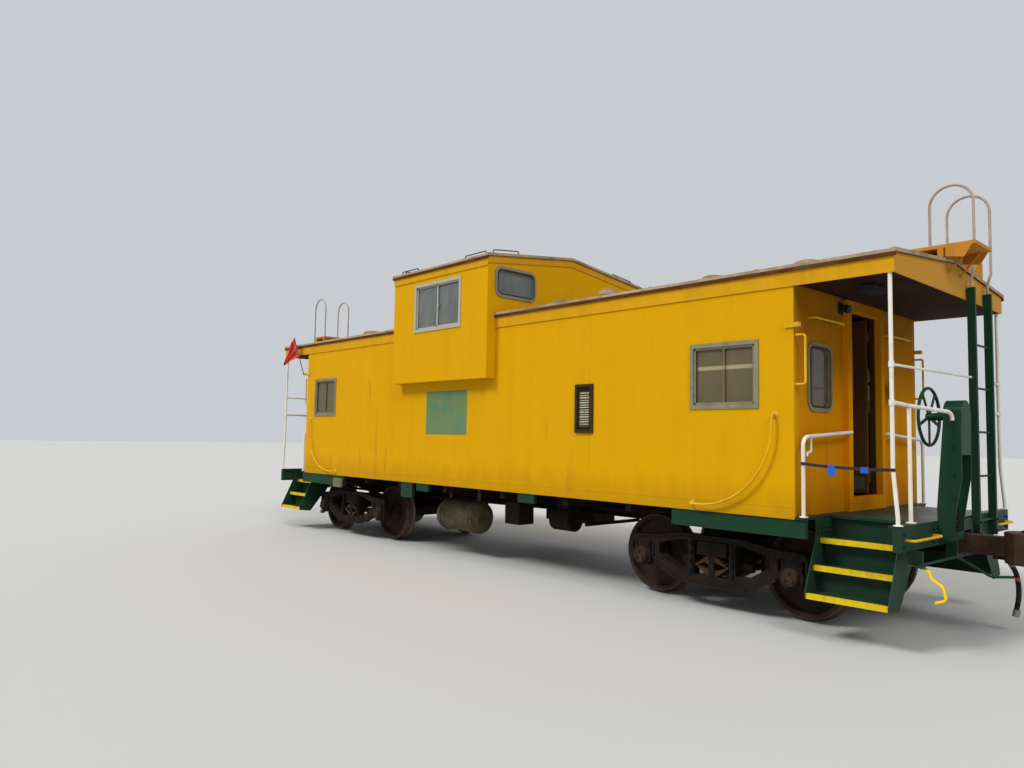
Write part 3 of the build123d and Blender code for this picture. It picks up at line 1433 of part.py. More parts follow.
def brakes():
    """The brake beams of a truck, each with its two shoes just clear of the wheels."""
    pieces = []
    axle = WHEELBASE / 2
    inner = WHEEL_R + 3 + SHOE_GAP
    for side in (-1, 1):
        shoe_ring = Circle(inner + 45) - Circle(inner)
        reach = inner + 60
        wedge = Polygon((0, 0), (-side * reach, reach * 0.36), (-side * reach, -reach * 0.36), align=None)
        shoe_face = Plane.XZ * Pos(side * axle, WHEEL_R) * (shoe_ring & wedge)
        beam_x = side * BEAM_X
        reach_y = BEAM_REACH - SEAT_GAP
        beam = bar([(beam_x, -reach_y, WHEEL_R), (beam_x, reach_y, WHEEL_R)], BEAM_R)
        for y in (-800.0, 720.0):
            shoe = Pos(0, y + 80, 0) * extrude(shoe_face, 80)
            beam += shoe
        pieces.append(beam)
    return pieces


def wheelset():
    """An axle with its two wheels, their flanges inside, and the caps of its journals."""
    back = BACK_TO_BACK / 2
    front = back + RIM_WIDTH
    rim = WHEEL_R - RIM_THICK
    tip = WHEEL_R + FLANGE_DEPTH
    y0, y1 = BEARING_Y
    cap_r, cap_long = END_CAP
    half = [
        (AXLE_R, 0.0),
        (AXLE_R, back - 40),
        (HUB_R, back - 40),
        (rim - 8, back + 38),
        (rim, back),
        (tip, back),
        (tip, back + 13),
        (WHEEL_R + 2.5, back + 36),
        (WHEEL_R - 2.5, front),
        (rim, front),
        (rim - 8, back + 68),
        (HUB_R, back + 50),
        (HUB_R, front - 12),
        (AXLE_R, front - 12),
        (AXLE_R, y0 - 6),
        (JOURNAL_R, y0 - 6),
        (JOURNAL_R, y1 + 3),
        (cap_r, y1 + 3),
        (cap_r - 10, y1 + 3 + cap_long),
        (0.0, y1 + 3 + cap_long),
    ]
    outline = half + [(radius, -y) for radius, y in half[::-1] if y > 0]
    return Pos(0, 0, WHEEL_R) * revolve(Plane.XY * Polygon(*outline, align=None), Axis.Y)


frames = mirrored([side_frame()])
springs = mirrored([leaf_spring()])
axle_half = WHEELBASE / 2
bearings = mirrored([Pos(side * axle_half, 0, 0) * bearing() for side in (-1, 1)])
one_set = wheelset()
for truck, place in (("front", Pos(TRUCK_X, 0, 0)), ("rear", Pos(-TRUCK_X, 0, 0))):
    keep("truck_" + truck + "_frames", *[place * piece for piece in frames])
    keep("truck_" + truck + "_springs", *[place * piece for piece in springs])
    keep("truck_" + truck + "_bearings", *[place * piece for piece in bearings])
    keep("truck_" + truck + "_bolster", place * truck_bolster())
    keep("truck_" + truck + "_brakes", *[place * piece for piece in brakes()])
    first = 1 if truck == "front" else 3
    for number, side in ((first, 1), (first + 1, -1)):
        keep("wheelset_" + str(number), place * Pos(side * axle_half, 0, 0) * one_set)


os.makedirs("parts", exist_ok=True)
for name, pieces in nodes.items():
    lifted = [Pos(0, 0, FLANGE_DEPTH) * piece for piece in pieces]
    export_step(Compound(lifted) if len(lifted) > 1 else lifted[0], "parts/" + name + ".step")
print(len(nodes), "nodes")
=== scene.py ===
"""Looks of a wide-cupola caboose: its paints, its small iron, and the light it stands in.

Lengths are in metres in the model's own frame: +X is the front end, +Y the left side and +Z up.
The rail head lies at RAIL, the depth of the wheels' flanges above the floor.
"""

from __future__ import annotations

import logging
import math
from dataclasses import dataclass, replace
from enum import Enum, StrEnum
from functools import cache, partial
from itertools import pairwise
from typing import Any, Callable, ClassVar, Iterable, Sequence

import bmesh
import bpy
from mathutils import Matrix, Vector

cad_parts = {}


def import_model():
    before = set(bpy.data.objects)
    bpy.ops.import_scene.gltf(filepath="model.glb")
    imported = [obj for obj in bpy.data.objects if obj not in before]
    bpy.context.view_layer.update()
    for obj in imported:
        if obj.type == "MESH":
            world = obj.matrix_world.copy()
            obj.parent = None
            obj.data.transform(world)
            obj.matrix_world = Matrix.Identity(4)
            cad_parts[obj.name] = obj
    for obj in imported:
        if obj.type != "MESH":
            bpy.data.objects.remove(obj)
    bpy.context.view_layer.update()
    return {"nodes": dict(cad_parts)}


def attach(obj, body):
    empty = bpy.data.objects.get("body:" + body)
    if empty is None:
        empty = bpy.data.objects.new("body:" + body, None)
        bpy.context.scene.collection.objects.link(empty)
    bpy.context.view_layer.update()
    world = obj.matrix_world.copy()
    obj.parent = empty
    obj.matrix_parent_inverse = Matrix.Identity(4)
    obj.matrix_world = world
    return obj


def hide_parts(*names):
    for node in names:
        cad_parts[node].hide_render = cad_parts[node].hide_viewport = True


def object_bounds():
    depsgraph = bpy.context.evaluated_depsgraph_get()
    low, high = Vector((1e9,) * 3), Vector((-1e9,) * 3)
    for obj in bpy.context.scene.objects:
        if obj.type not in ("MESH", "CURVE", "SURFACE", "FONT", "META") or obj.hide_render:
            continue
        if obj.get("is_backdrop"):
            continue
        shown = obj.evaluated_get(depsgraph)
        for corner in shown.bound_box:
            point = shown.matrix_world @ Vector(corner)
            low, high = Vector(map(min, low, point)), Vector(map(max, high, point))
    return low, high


log = logging.getLogger("caboose")

Rgb = tuple[float, float, float]
Point = tuple[float, float, float]
Pair = tuple[float, float]
Spot = tuple[Point, Point]

RAIL = 0.0254  # the rail head above the floor
BODY_SIDE = 1.4095  # half the width over the side walls
CUPOLA_SIDE = 1.560  # half the width over the cupola's bays
CUPOLA_X = -0.578  # the middle of the cupola
END_WALL = 4.572  # half the length over the end walls
TRUCK_X = 3.505  # a truck's middle from the car's
AXLE_HALF = 0.8635  # half the distance between a truck's axles
WHEEL_RADIUS = 0.419
COAT_DEPTH = 0.0012  # the relief of a coat of paint or rust
MIRROR_Y = Matrix.Scale(-1, 4, (0, 1, 0))
RIGHT: Point = (0.0, -1.0, 0.0)
FORWARD: Point = (1.0, 0.0, 0.0)
UPWARD: Point = (0.0, 0.0, 1.0)


def up(height: float) -> float:
    """The height above the floor of a height above the rail head."""
    return height + RAIL


class End(Enum):
    """The two ends of the car, with the turn that brings the front's pieces there."""

    FRONT = 0.0
    REAR = math.pi

    def turn(self) -> Matrix:
        """The turn about the middle of the car."""
        return Matrix.Rotation(self.value, 4, "Z")

    def label(self) -> str:
        """The end as it stands in a piece's name."""
        return self.name.lower()


@dataclass(frozen=True)
class Gable:
    """A low pitched roof: half its width, the height of its eaves and its rise to the middle."""

    edge: float
    eave: float
    rise: float

    def height(self, y: Value | float) -> Value | float:
        """The sheet's height at a distance from the middle."""
        return self.eave + self.rise * (1 - abs(y) / self.edge)


BODY_ROOF = Gable(1.4395, up(3.270), 0.135)
CUPOLA_ROOF = Gable(1.590, up(4.030), 0.195)


def linear(red: int, green: int, blue: int) -> Rgb:
    """A colour written as it shows on a screen, as scene-linear values.

    Args:
        red: red from 0 to 255.
        green: green from 0 to 255.
        blue: blue from 0 to 255.

    Returns:
        The colour in linear light.
    """

    def channel(value: int) -> float:
        """One channel in linear light."""
        share = value / 255
        return share / 12.92 if share <= 0.04045 else ((share + 0.055) / 1.055) ** 2.4

    return channel(red), channel(green), channel(blue)


# Shader and geometry trees


class Value:
    """A node's output socket that takes part in sums and products."""

    def __init__(self, tree: Tree, socket: bpy.types.NodeSocket) -> None:
        """Wraps one socket of a tree."""
        self.tree = tree
        self.socket = socket

    def _math(self, operation: str, *others: Value | float) -> Value:
        """One Math node on this value and others."""
        return self.tree.node("ShaderNodeMath", {"operation": operation}, [self, *others])

    def __add__(self, other: Value | float) -> Value:
        """This plus another."""
        return self._math("ADD", other)

    __radd__ = __add__

    def __mul__(self, other: Value | float) -> Value:
        """This times another."""
        return self._math("MULTIPLY", other)

    __rmul__ = __mul__

    def __sub__(self, other: Value | float) -> Value:
        """This less another."""
        return self._math("SUBTRACT", other)

    def __rsub__(self, other: float) -> Value:
        """Another less this."""
        return self.tree.node("ShaderNodeMath", {"operation": "SUBTRACT"}, [other, self])

    def __truediv__(self, other: Value | float) -> Value:
        """This over another."""
        return self._math("DIVIDE", other)

    def __abs__(self) -> Value:
        """The size of this."""
        return self._math("ABSOLUTE")

    def __pow__(self, other: float) -> Value:
        """This to a power; a square holds for values below nought too."""
        return self * self if other == 2 else self._math("POWER", other)

    def fraction(self) -> Value:
        """What is left of this over its whole part."""
        return self._math("FRACT")

    def zigzag(self, pitch: float) -> Value:
        """How far this is from the nearest even multiple of a pitch."""
        return self._math("PINGPONG", pitch)

    def wave(self) -> Value:
        """The sine of this."""
        return self._math("SINE")

    def most(self, other: Value | float) -> Value:
        """The larger of this and another."""
        return self._math("MAXIMUM", other)

    def clamped(self) -> Value:
        """This kept between nought and one."""
        return self.tree.node("ShaderNodeClamp", {}, [self])

    def over(self, edge: float, soft: float = 0.02) -> Value:
        """One where this is above an edge, nought below it, with a soft step between."""
        return ((self - (edge - soft)) / (2 * soft)).clamped()

    def under(self, edge: float, soft: float = 0.02) -> Value:
        """One where this is below an edge, nought above it."""
        return 1 - self.over(edge, soft)

    def within(self, low: float, high: float, soft: float = 0.004) -> Value:
        """One between two edges, nought outside them."""
        return self.over(low, soft) * self.under(high, soft)


class Tree:
    """A node tree being written, whose nodes come from one method."""

    def __init__(self, tree: bpy.types.NodeTree) -> None:
        """Starts on a tree."""
        self.tree = tree

    def raw(self, kind: str, settings: dict[str, Any], inputs: Any = ()) -> bpy.types.Node:
        """One node, with its settings made first and its sockets filled after.

        Args:
            kind: the node's type.
            settings: its properties by name.
            inputs: socket values or links, by order or by name; None leaves a socket alone.

        Returns:
            The node.
        """
        node = self.tree.nodes.new(kind)
        for name, value in settings.items():
            setattr(node, name, value)
        pairs = inputs.items() if isinstance(inputs, dict) else enumerate(inputs)
        for key, value in pairs:
            socket = node.inputs[key]
            if isinstance(value, Value):
                self.tree.links.new(value.socket, socket)
            elif isinstance(value, tuple) and socket.type == "RGBA":
                socket.default_value = (*value[:3], 1)
            elif value is not None:
                socket.default_value = value
        return node

    def node(self, kind: str, settings: dict[str, Any], inputs: Any = (), out: Any = 0) -> Value:
        """One node, and the value of one of its outputs."""
        return Value(self, self.raw(kind, settings, inputs).outputs[out])


class Paintwork(Tree):
    """The node tree of one material, and what has been laid on its surface so far."""

    def __init__(self, name: str, colour: Rgb) -> None:
        """Starts a material of one colour.

        Args:
            name: the material's name.
            colour: its colour before anything is laid on it.
        """
        self.material = bpy.data.materials.new(name)
        self.material.use_nodes = True
        super().__init__(self.material.node_tree)
        self.tree.nodes.clear()
        self.place = self.node("ShaderNodeTexCoord", {}, out="Object")
        parts = self.raw("ShaderNodeSeparateXYZ", {}, [self.place])
        self.x, self.y, self.z = (Value(self, socket) for socket in parts.outputs)
        self.colour: Value | Rgb = colour
        self.roughness: Value | float = 0.5
        self.metallic: Value | float = 0.0
        self.normal: Value | None = None
        self.fixed: dict[str, float] = {"Specular IOR Level": 0.1}

    def noise(self, scale: float, detail: float = 4.0, stretch: Point = (1, 1, 1),
              rough: float = 0.55, shift: float = 0.0) -> Value:
        """Noise over the piece, with its grain stretched along the axes.

        Args:
            scale: grains to the metre.
            detail: how many finer layers it has.
            stretch: share of the scale along each axis.
            rough: how strong the finer layers are.
            shift: moves the pattern, so that two layers differ.

        Returns:
            A value about one half.
        """
        mapping = {"Vector": self.place, "Scale": stretch, "Location": (shift, shift, shift)}
        where = self.node("ShaderNodeMapping", {}, mapping)
        inputs = {"Vector": where, "Scale": scale, "Detail": detail, "Roughness": rough}
        return self.node("ShaderNodeTexNoise", {}, inputs)

    def facing(self, axis: int) -> Value:
        """The part of the surface's normal along an axis of the car."""
        normal = self.node("ShaderNodeNewGeometry", {}, out="Normal")
        return self.node("ShaderNodeSeparateXYZ", {}, [normal], out=axis)

    def upward(self) -> Value:
        """How far the surface faces up: one on level tops, nought on walls."""
        return self.facing(2)

    def along(self) -> Value:
        """How far the surface faces along the car, either way."""
        return abs(self.facing(0))

    def mix(self, share: Value | float, low: Value | Rgb, high: Value | Rgb) -> Value:
        """Two colours mixed by a share."""
        return self.node("ShaderNodeMix", {"data_type": "RGBA"}, {0: share, 6: low, 7: high}, out=2)

    def lay(self, share: Value | float, colour: Value | Rgb) -> None:
        """Covers a share of the surface with a colour."""
        self.colour = self.mix(share, self.colour, colour)

    def emboss(self, height: Value, depth: float, strength: float) -> None:
        """Raises the surface by a height in units of a depth in metres."""
        inputs = {"Height": height, "Distance": depth, "Strength": strength, "Normal": self.normal}
        self.normal = self.node("ShaderNodeBump", {}, inputs)

    def finish(self) -> bpy.types.Material:
        """Ends the tree in a Principled shader of what was laid on it.

        Returns:
            The material.
        """
        inputs = {"Base Color": self.colour, "Roughness": self.roughness,
                  "Metallic": self.metallic, "Normal": self.normal, **self.fixed}
        shader = self.node("ShaderNodeBsdfPrincipled", {}, inputs)
        self.raw("ShaderNodeOutputMaterial", {}, [shader])
        return self.material


# Finishes


@dataclass(frozen=True)
class Surface:
    """A finish that is laid in two steps: its coat, and what its own kind has on top."""

    name: str
    colour: Rgb

    def coat(self, work: Paintwork) -> None:
        """Lays the coat. Each family of finishes has its own."""

    def detail(self, work: Paintwork) -> None:
        """Lays what is on top of the coat, which is nothing on a plain one."""

    def material(self) -> bpy.types.Material:
        """The finished material.

        Returns:
            The material.
        """
        work = Paintwork(self.name, self.colour)
        self.coat(work)
        self.detail(work)
        return work.finish()


@dataclass(frozen=True)
class Paint(Surface):
    """A coat of paint that has stood outdoors: faded in clouds, streaked, grimy and chipped."""

    faded: Rgb
    grime: Rgb
    bare: Rgb = linear(96, 62, 44)
    roughness: float = 0.48
    fading: float = 0.5
    streaks: float = 0.3
    dirt: float = 0.3
    chips: float = 0.5
    grain: float = 1.0

    def chipped(self, work: Paintwork) -> Value:
        """Where the paint has come off, from nought to one."""
        flaw = work.noise(14.0 * self.grain, 9, rough=0.68, shift=1.3)
        return flaw.over(0.86 - 0.16 * self.chips, 0.012)

    def coat(self, work: Paintwork) -> None:
        """Lays the paint with its clouds, streaks, dirt and chips.

        Args:
            work: the material's tree.
        """
        clouds = work.noise(0.9 * self.grain, 5, (1, 1, 0.8)).over(0.52, 0.16) * self.fading
        runs = work.noise(6.0 * self.grain, 5, (1, 1, 0.06), 0.6, 3.1).over(0.6, 0.12)
        dirt = work.noise(3.1 * self.grain, 8, rough=0.7, shift=7.7).over(0.58, 0.14) * self.dirt
        fine = work.noise(60.0, 3, shift=5.0)
        wave = work.noise(2.2, 3, shift=9.0)
        chips = self.chipped(work)
        work.lay(clouds, self.faded)
        work.lay(fine.over(0.5, 0.3) * 0.1, self.faded)
        work.lay(runs * self.streaks, self.grime)
        work.lay(dirt, self.grime)
        work.lay(chips, self.bare)
        work.roughness = (self.roughness + clouds * 0.14 + dirt * 0.25 + chips * 0.3).clamped()
        work.emboss(fine * 0.25 + wave * 2.0 - chips * 0.5, COAT_DEPTH, 0.6)


@dataclass(frozen=True)
class CabYellow(Paint):
    """The cab's yellow: the coat, with welded seams, rust under the windows, splash below, and
    painted shade high on the end walls and on the faces inside.
    """

    lining: Rgb = linear(66, 44, 22)
    overhang_shade: Rgb = linear(104, 62, 20)
    seam_pitch: float = 1.22
    seam_start: float = 0.31
    seam_half: float = 0.004
    sill_seam: float = up(1.085)
    splash_line: float = up(0.93)
    overhang_shade_line: float = 2.0
    wall: Pair = (4.560, 1.398)
    cupola_wall: Pair = (1.062, 1.548)
    cupola_floor: float = 3.2
    sharp: float = 0.003
    sheen: float = 0.05

    def inside(self, work: Paintwork) -> Value:
        """One on the faces that look into the cabin or the cupola, nought outside.

        Args:
            work: the material's tree.

        Returns:
            The mask.
        """
        rooms = []
        for middle, (length, width) in ((0.0, self.wall), (CUPOLA_X, self.cupola_wall)):
            across = abs(work.y).under(width, self.sharp)
            rooms.append(across * abs(work.x - middle).under(length, self.sharp))
        cabin, cupola = rooms
        high = work.z.over(self.cupola_floor, self.sharp)
        return (cabin * (1 - high)).most(cupola * high)

    def detail(self, work: Paintwork) -> None:
        """Lays the splash, the rust, the seams, the painted shade of the roof's overhang on the end
        walls, and the painted shade inside.

        Args:
            work: the material's tree.
        """
        ragged = work.noise(5.0, 6, (1, 1, 0.5), shift=4.0) * 0.5
        work.lay((work.z - ragged).under(self.splash_line, 0.16) * 0.35, self.grime)
        rust = work.noise(9.0, 7, (1, 1, 0.1), 0.65, 6.0).over(0.66, 0.05)
        high = work.noise(0.7, 2, shift=8.0).over(0.5, 0.1)
        work.lay(rust * high * 0.4, self.bare)
        lines = ((work.x + self.seam_start).zigzag(self.seam_pitch), abs(work.z - self.sill_seam))
        upright, level = (line.under(self.seam_half, self.sharp) for line in lines)
        seam = upright.most(level)
        work.emboss(seam, COAT_DEPTH, 0.8)
        work.lay(seam * 0.25, self.grime)
        # Painted shade: the end walls go darker brown towards the top, as in the shadow of the
        # roof's overhang.
        ends = abs(work.x).over(self.wall[0], self.sharp) * work.along().over(0.5, 0.1)
        cloud = work.noise(1.7, 6, rough=0.6, shift=5.9) * 0.5 + 0.35
        work.lay(ends * (work.z - self.overhang_shade_line).clamped() * cloud, self.overhang_shade)
        # Painted shade: the faces inside the cabin and cupola are dark brown, standing for the
        # unlit inside.
        work.lay(self.inside(work), self.lining)
        work.fixed["Specular IOR Level"] = self.sheen


@dataclass(frozen=True)
class RoofPaint(Paint):
    """The roof's cream paint, weathered through to brown primer in patches, with painted shade dark
    brown low on its edges.
    """

    drip_shade: Rgb = linear(84, 44, 18)
    cap: Rgb = linear(132, 66, 44)
    rim: float = 0.028
    cap_rise: float = 0.034
    rib_pitch: float = 0.61
    rib_half: float = 0.012
    cupola_z: float = 3.75

    def above(self, work: Paintwork) -> Value:
        """How far this is above the sheet of the roof that it lies on.

        Args:
            work: the material's tree.

        Returns:
            The height in metres.
        """
        cupola = work.z.over(self.cupola_z, 0.01)
        high, low = CUPOLA_ROOF.height(work.y), BODY_ROOF.height(work.y)
        return work.z - (high * cupola + low * (1 - cupola))

    def detail(self, work: Paintwork) -> None:
        """Lays the worn patches, the ribs, the painted shade low on the edges and the caps.

        Args:
            work: the material's tree.
        """
        worn = work.noise(2.4, 8, rough=0.7, shift=2.0).over(0.56, 0.07)
        work.lay(worn * 0.5, self.bare)
        work.emboss(work.x.zigzag(self.rib_pitch).under(self.rib_half, 0.006), 0.006, 0.9)
        above, level = self.above(work), work.upward().over(0.6, 0.1)
        # Painted shade: edge faces below the sheet go dark brown, the shadow of the drip gap, mixed
        # with grime where worn.
        drip_shade = (1 - level) * above.under(-self.rim, 0.002)
        work.lay(drip_shade, work.mix(worn * 0.5, self.drip_shade, self.grime))
        work.lay(above.over(self.cap_rise, 0.004) * level * worn.most(0.6), self.cap)


@dataclass(frozen=True)
class WalkBoards(Paint):
    """The roof walks: painted sides and brackets, with treads bleached by the weather."""

    bleached: Rgb = linear(186, 164, 122)

    def detail(self, work: Paintwork) -> None:
        """Lays the bleached treads.

        Args:
            work: the material's tree.
        """
        grain = work.noise(14.0, 6, (0.2, 1.6, 1)).over(0.45, 0.2)
        top = work.upward().over(0.7, 0.1)
        work.lay(top * 0.85, work.mix(grain * 0.6, self.bleached, self.grime))
        work.emboss(grain * top, COAT_DEPTH, 0.8)


@dataclass(frozen=True)
class WeatheredAndShaded(Paint):
    """Paint that goes brown on the faces that look along the car, less so on the cupola:
    weathering, and painted shade where the ends lie under the roof.
    """

    weather_and_shade: Rgb = linear(176, 126, 56)
    cupola_z: float = 3.6

    def detail(self, work: Paintwork) -> None:
        """Lays the brown of weathering and painted shade.

        Args:
            work: the material's tree.
        """
        cloud = work.noise(2.0, 6, rough=0.65, shift=3.3) * 0.6 + 0.35
        share = cloud * (1 - work.z.over(self.cupola_z, 0.02) * 0.75)
        # Weathering and painted shade: faces that look along the car are laid brown, the end
        # fascias most.
        work.lay(work.along() * share, self.weather_and_shade)


@dataclass(frozen=True)
class TreadGreen(Paint):
    """Green paint on tread plate: raised lugs on the level faces, worn on their tops."""

    pitch: float = 26.0
    long: float = 0.44
    thin: float = 0.13

    def lugs(self, work: Paintwork) -> Value:
        """The lugs, which lie crossways by turns.

        Args:
            work: the material's tree.

        Returns:
            One in the middle of a lug, falling to nought at its edge.
        """
        ways = ((work.x + work.y) * self.pitch, (work.x - work.y) * self.pitch)
        (a, row), (b, column) = ((way.fraction() - 0.5, way - way.fraction()) for way in ways)
        turned = ((row + column) * 0.5).fraction().over(0.25, 0.01)
        flat = 1 - (a / self.long) ** 2 - (b / self.thin) ** 2
        tall = 1 - (a / self.thin) ** 2 - (b / self.long) ** 2
        return (flat * (1 - turned) + tall * turned).clamped()

    def detail(self, work: Paintwork) -> None:
        """Lays the lugs and their wear.

        Args:
            work: the material's tree.
        """
        lugs = self.lugs(work) * work.upward().over(0.7, 0.05)
        wear = work.noise(3.5, 5, shift=5.5).over(0.46, 0.1)
        work.lay(lugs * wear * 0.45, self.bare)
        work.emboss(lugs, 0.002, 0.9)


@dataclass(frozen=True)
class TwoTone(Paint):
    """Paint of one colour, with another inside a box of the car, mirrored to all four corners."""

    other: Rgb = (0.0, 0.0, 0.0)
    low: Point = (0.0, 0.0, 0.0)
    high: Point = (9.0, 9.0, 9.0)

    def detail(self, work: Paintwork) -> None:
        """Lays the other colour, but for the chips.

        Args:
            work: the material's tree.
        """
        there = 1 - self.chipped(work)
        for way, low, high in zip((abs(work.x), abs(work.y), work.z), self.low, self.high):
            there = there * way.within(low, high)
        work.lay(there, self.other)


@dataclass(frozen=True)
class Louvered(Paint):
    """The louver's dark paint, with the upper half of each slat pale in patches."""

    pale: Rgb = linear(204, 200, 178)
    pitch: float = 0.027
    slats_x: Pair = (1.985, 2.121)
    slats_z: Pair = (1.835, 2.225)

    def detail(self, work: Paintwork) -> None:
        """Lays the pale upper halves of the slats.

        Args:
            work: the material's tree.
        """
        middle = work.x.within(*self.slats_x) * work.z.within(*self.slats_z)
        edge = (work.z / self.pitch).fraction().over(0.5, 0.08)
        worn = work.noise(30.0, 5, shift=2.5).over(0.36, 0.08)
        work.lay(middle * edge * worn, self.pale)


@dataclass(frozen=True)
class Iron(Surface):
    """Bare or once-painted iron: dark, with rust in blooms and dust on its upper sides."""

    rust: Rgb = linear(92, 56, 38)
    dust: Rgb = linear(120, 105, 88)
    rusting: float = 0.5
    dusting: float = 0.35
    roughness: float = 0.7
    metallic: float = 0.0
    depth: float = COAT_DEPTH

    def coat(self, work: Paintwork) -> None:
        """Lays the rust, its specks and the settled dust.

        Args:
            work: the material's tree.
        """
        bloom = work.noise(7.0, 8, rough=0.7, shift=2.2)
        rust = bloom.over(0.52, 0.1) * self.rusting
        speck = work.noise(48.0, 4, shift=6.6)
        patches = work.noise(11.0, 5, shift=4.4).over(0.45, 0.2)
        settled = work.upward().over(0.4, 0.3) * patches * self.dusting
        work.lay(rust, self.rust)
        work.lay(speck.over(0.62, 0.06) * 0.35 * self.rusting, self.dust)
        work.lay(settled, self.dust)
        work.roughness = (self.roughness + rust * 0.2 + settled * 0.2).clamped()
        work.metallic = self.metallic
        work.emboss(bloom * 0.6 + speck * 0.8, self.depth, 0.7)


@dataclass(frozen=True)
class FrameMetal(Iron):
    """Aluminium window frames: cleaner on the cupola, and brown on the bars inside the body's."""

    clean: Rgb = linear(186, 182, 172)
    cupola_z: float = 3.1
    screened_x: tuple[Pair, Pair] = ((3.540, 4.160), (-4.215, -3.625))
    screened_z: Pair = (up(2.045), up(2.555))
    soft: float = 0.006

    def detail(self, work: Paintwork) -> None:
        """Lays the cleaner metal of the cupola, and the brown of the screened bars.

        Args:
            work: the material's tree.
        """
        work.lay(work.z.over(self.cupola_z, 0.02) * 0.8, self.clean)
        front, rear = (work.x.within(*ends, self.soft) for ends in self.screened_x)
        screen = (front + rear) * work.z.within(*self.screened_z, self.soft)
        work.lay(screen, work.mix(Glazing.rail_share(work) * 0.7, Glazing.film, Glazing.rail))
        work.metallic = (1 - screen) * self.metallic


@dataclass(frozen=True)
class WheelIron(Iron):
    """A wheel's iron, with a smoother tread and flange that rust has dulled."""

    worn: Rgb = linear(116, 96, 82)
    face: float = 0.822

    def detail(self, work: Paintwork) -> None:
        """Lays the worn tread and flange.

        Args:
            work: the material's tree.
        """
        away = abs(abs(abs(work.x) - TRUCK_X) - AXLE_HALF)
        rise = work.z - up(WHEEL_RADIUS)
        radius = (away * away + rise * rise) ** 0.5
        bright = radius.over(WHEEL_RADIUS - 0.008, 0.003) * abs(work.y).under(self.face, 0.004)
        work.lay(bright * 0.7, self.worn)
        work.roughness = work.roughness * (1 - bright * 0.4)
        work.metallic = bright * 0.5


@dataclass(frozen=True)
class Glazing:
    """Window glass: dusty and dark, with a blind's rail behind the front panes, and on the cupola's
    panes clearer, with a painted sky reflection.
    """

    name: str
    tint: Rgb = linear(150, 150, 138)
    film: Rgb = linear(104, 92, 60)
    sky_reflection: Rgb = linear(136, 144, 146)
    rail: Rgb = linear(164, 152, 118)
    rail_z: ClassVar[float] = up(2.378)
    rail_x: ClassVar[Pair] = (3.55, 4.15)
    cupola_z: float = 3.1
    side: float = 1.3

    @classmethod
    def rail_share(cls, work: Paintwork) -> Value:
        """How far this lies on the blind's rail of a front window."""
        return abs(work.z - cls.rail_z).under(0.019, 0.004) * work.x.within(*cls.rail_x, 0.01)

    def material(self) -> bpy.types.Material:
        """The finished material: clear glass and its film of dust, side by side.

        Returns:
            The material.
        """
        work = Paintwork(self.name, self.film)
        smear = work.noise(5.0, 6, (1, 1, 0.4)).over(0.5, 0.2)
        high, rail = work.z.over(self.cupola_z, 0.02), self.rail_share(work)
        # Painted reflection: the cupola's panes are laid a pale grey-blue, the sky they reflect.
        work.lay(high, self.sky_reflection)
        work.lay(rail * 0.8, self.rail)
        glass = work.node("ShaderNodeBsdfPrincipled", {}, {
            "Base Color": self.tint, "Roughness": 0.05, "Transmission Weight": 0.85, "IOR": 1.45,
            "Specular IOR Level": 0.4,
        })
        dust = work.node("ShaderNodeBsdfPrincipled", {}, {
            "Base Color": work.colour, "Roughness": 0.5, "Specular IOR Level": 0.3,
        })
        side = abs(work.y).over(self.side, 0.02) * (1 - high)
        share = (smear * 0.25 + side * 0.35 + rail * side * 0.3 + 0.2).clamped()
        both = work.node("ShaderNodeMixShader", {}, [share, glass, dust])
        work.raw("ShaderNodeOutputMaterial", {}, [both])
        return work.material


@dataclass(frozen=True)
class Rubber(Surface):
    """Black rubber, greyed by dust."""

    dust: Rgb = linear(92, 88, 82)

    def coat(self, work: Paintwork) -> None:
        """Lays the dust.

        Args:
            work: the material's tree.
        """
        dust = work.noise(20.0, 6, shift=1.0).over(0.5, 0.2)
        work.lay(dust * 0.3, self.dust)
        work.roughness = dust * 0.2 + 0.55
        work.emboss(work.noise(150.0, 3), 0.0004, 0.6)


@dataclass(frozen=True)
class HoseRubber(Rubber):
    """The hoses' rubber, with a painted band below the upper clamp."""

    band: Rgb = linear(176, 92, 42)
    band_z: Pair = (up(0.442), up(0.474))

    def detail(self, work: Paintwork) -> None:
        """Lays the band."""
        work.lay(work.z.within(*self.band_z, 0.002), self.band)


@dataclass(frozen=True)
class Cloth(Surface):
    """A plain woven cloth of one colour."""

    shade: Rgb
    threads: float = 700.0

    def coat(self, work: Paintwork) -> None:
        """Lays the shades and the weave.

        Args:
            work: the material's tree.
        """
        work.lay(work.noise(6.0, 4).over(0.5, 0.2) * 0.5, self.shade)
        work.roughness = 0.85
        work.emboss((work.x * self.threads).wave() * (work.z * self.threads).wave(), 0.0006, 0.5)
        work.fixed["Sheen Weight"] = 0.3


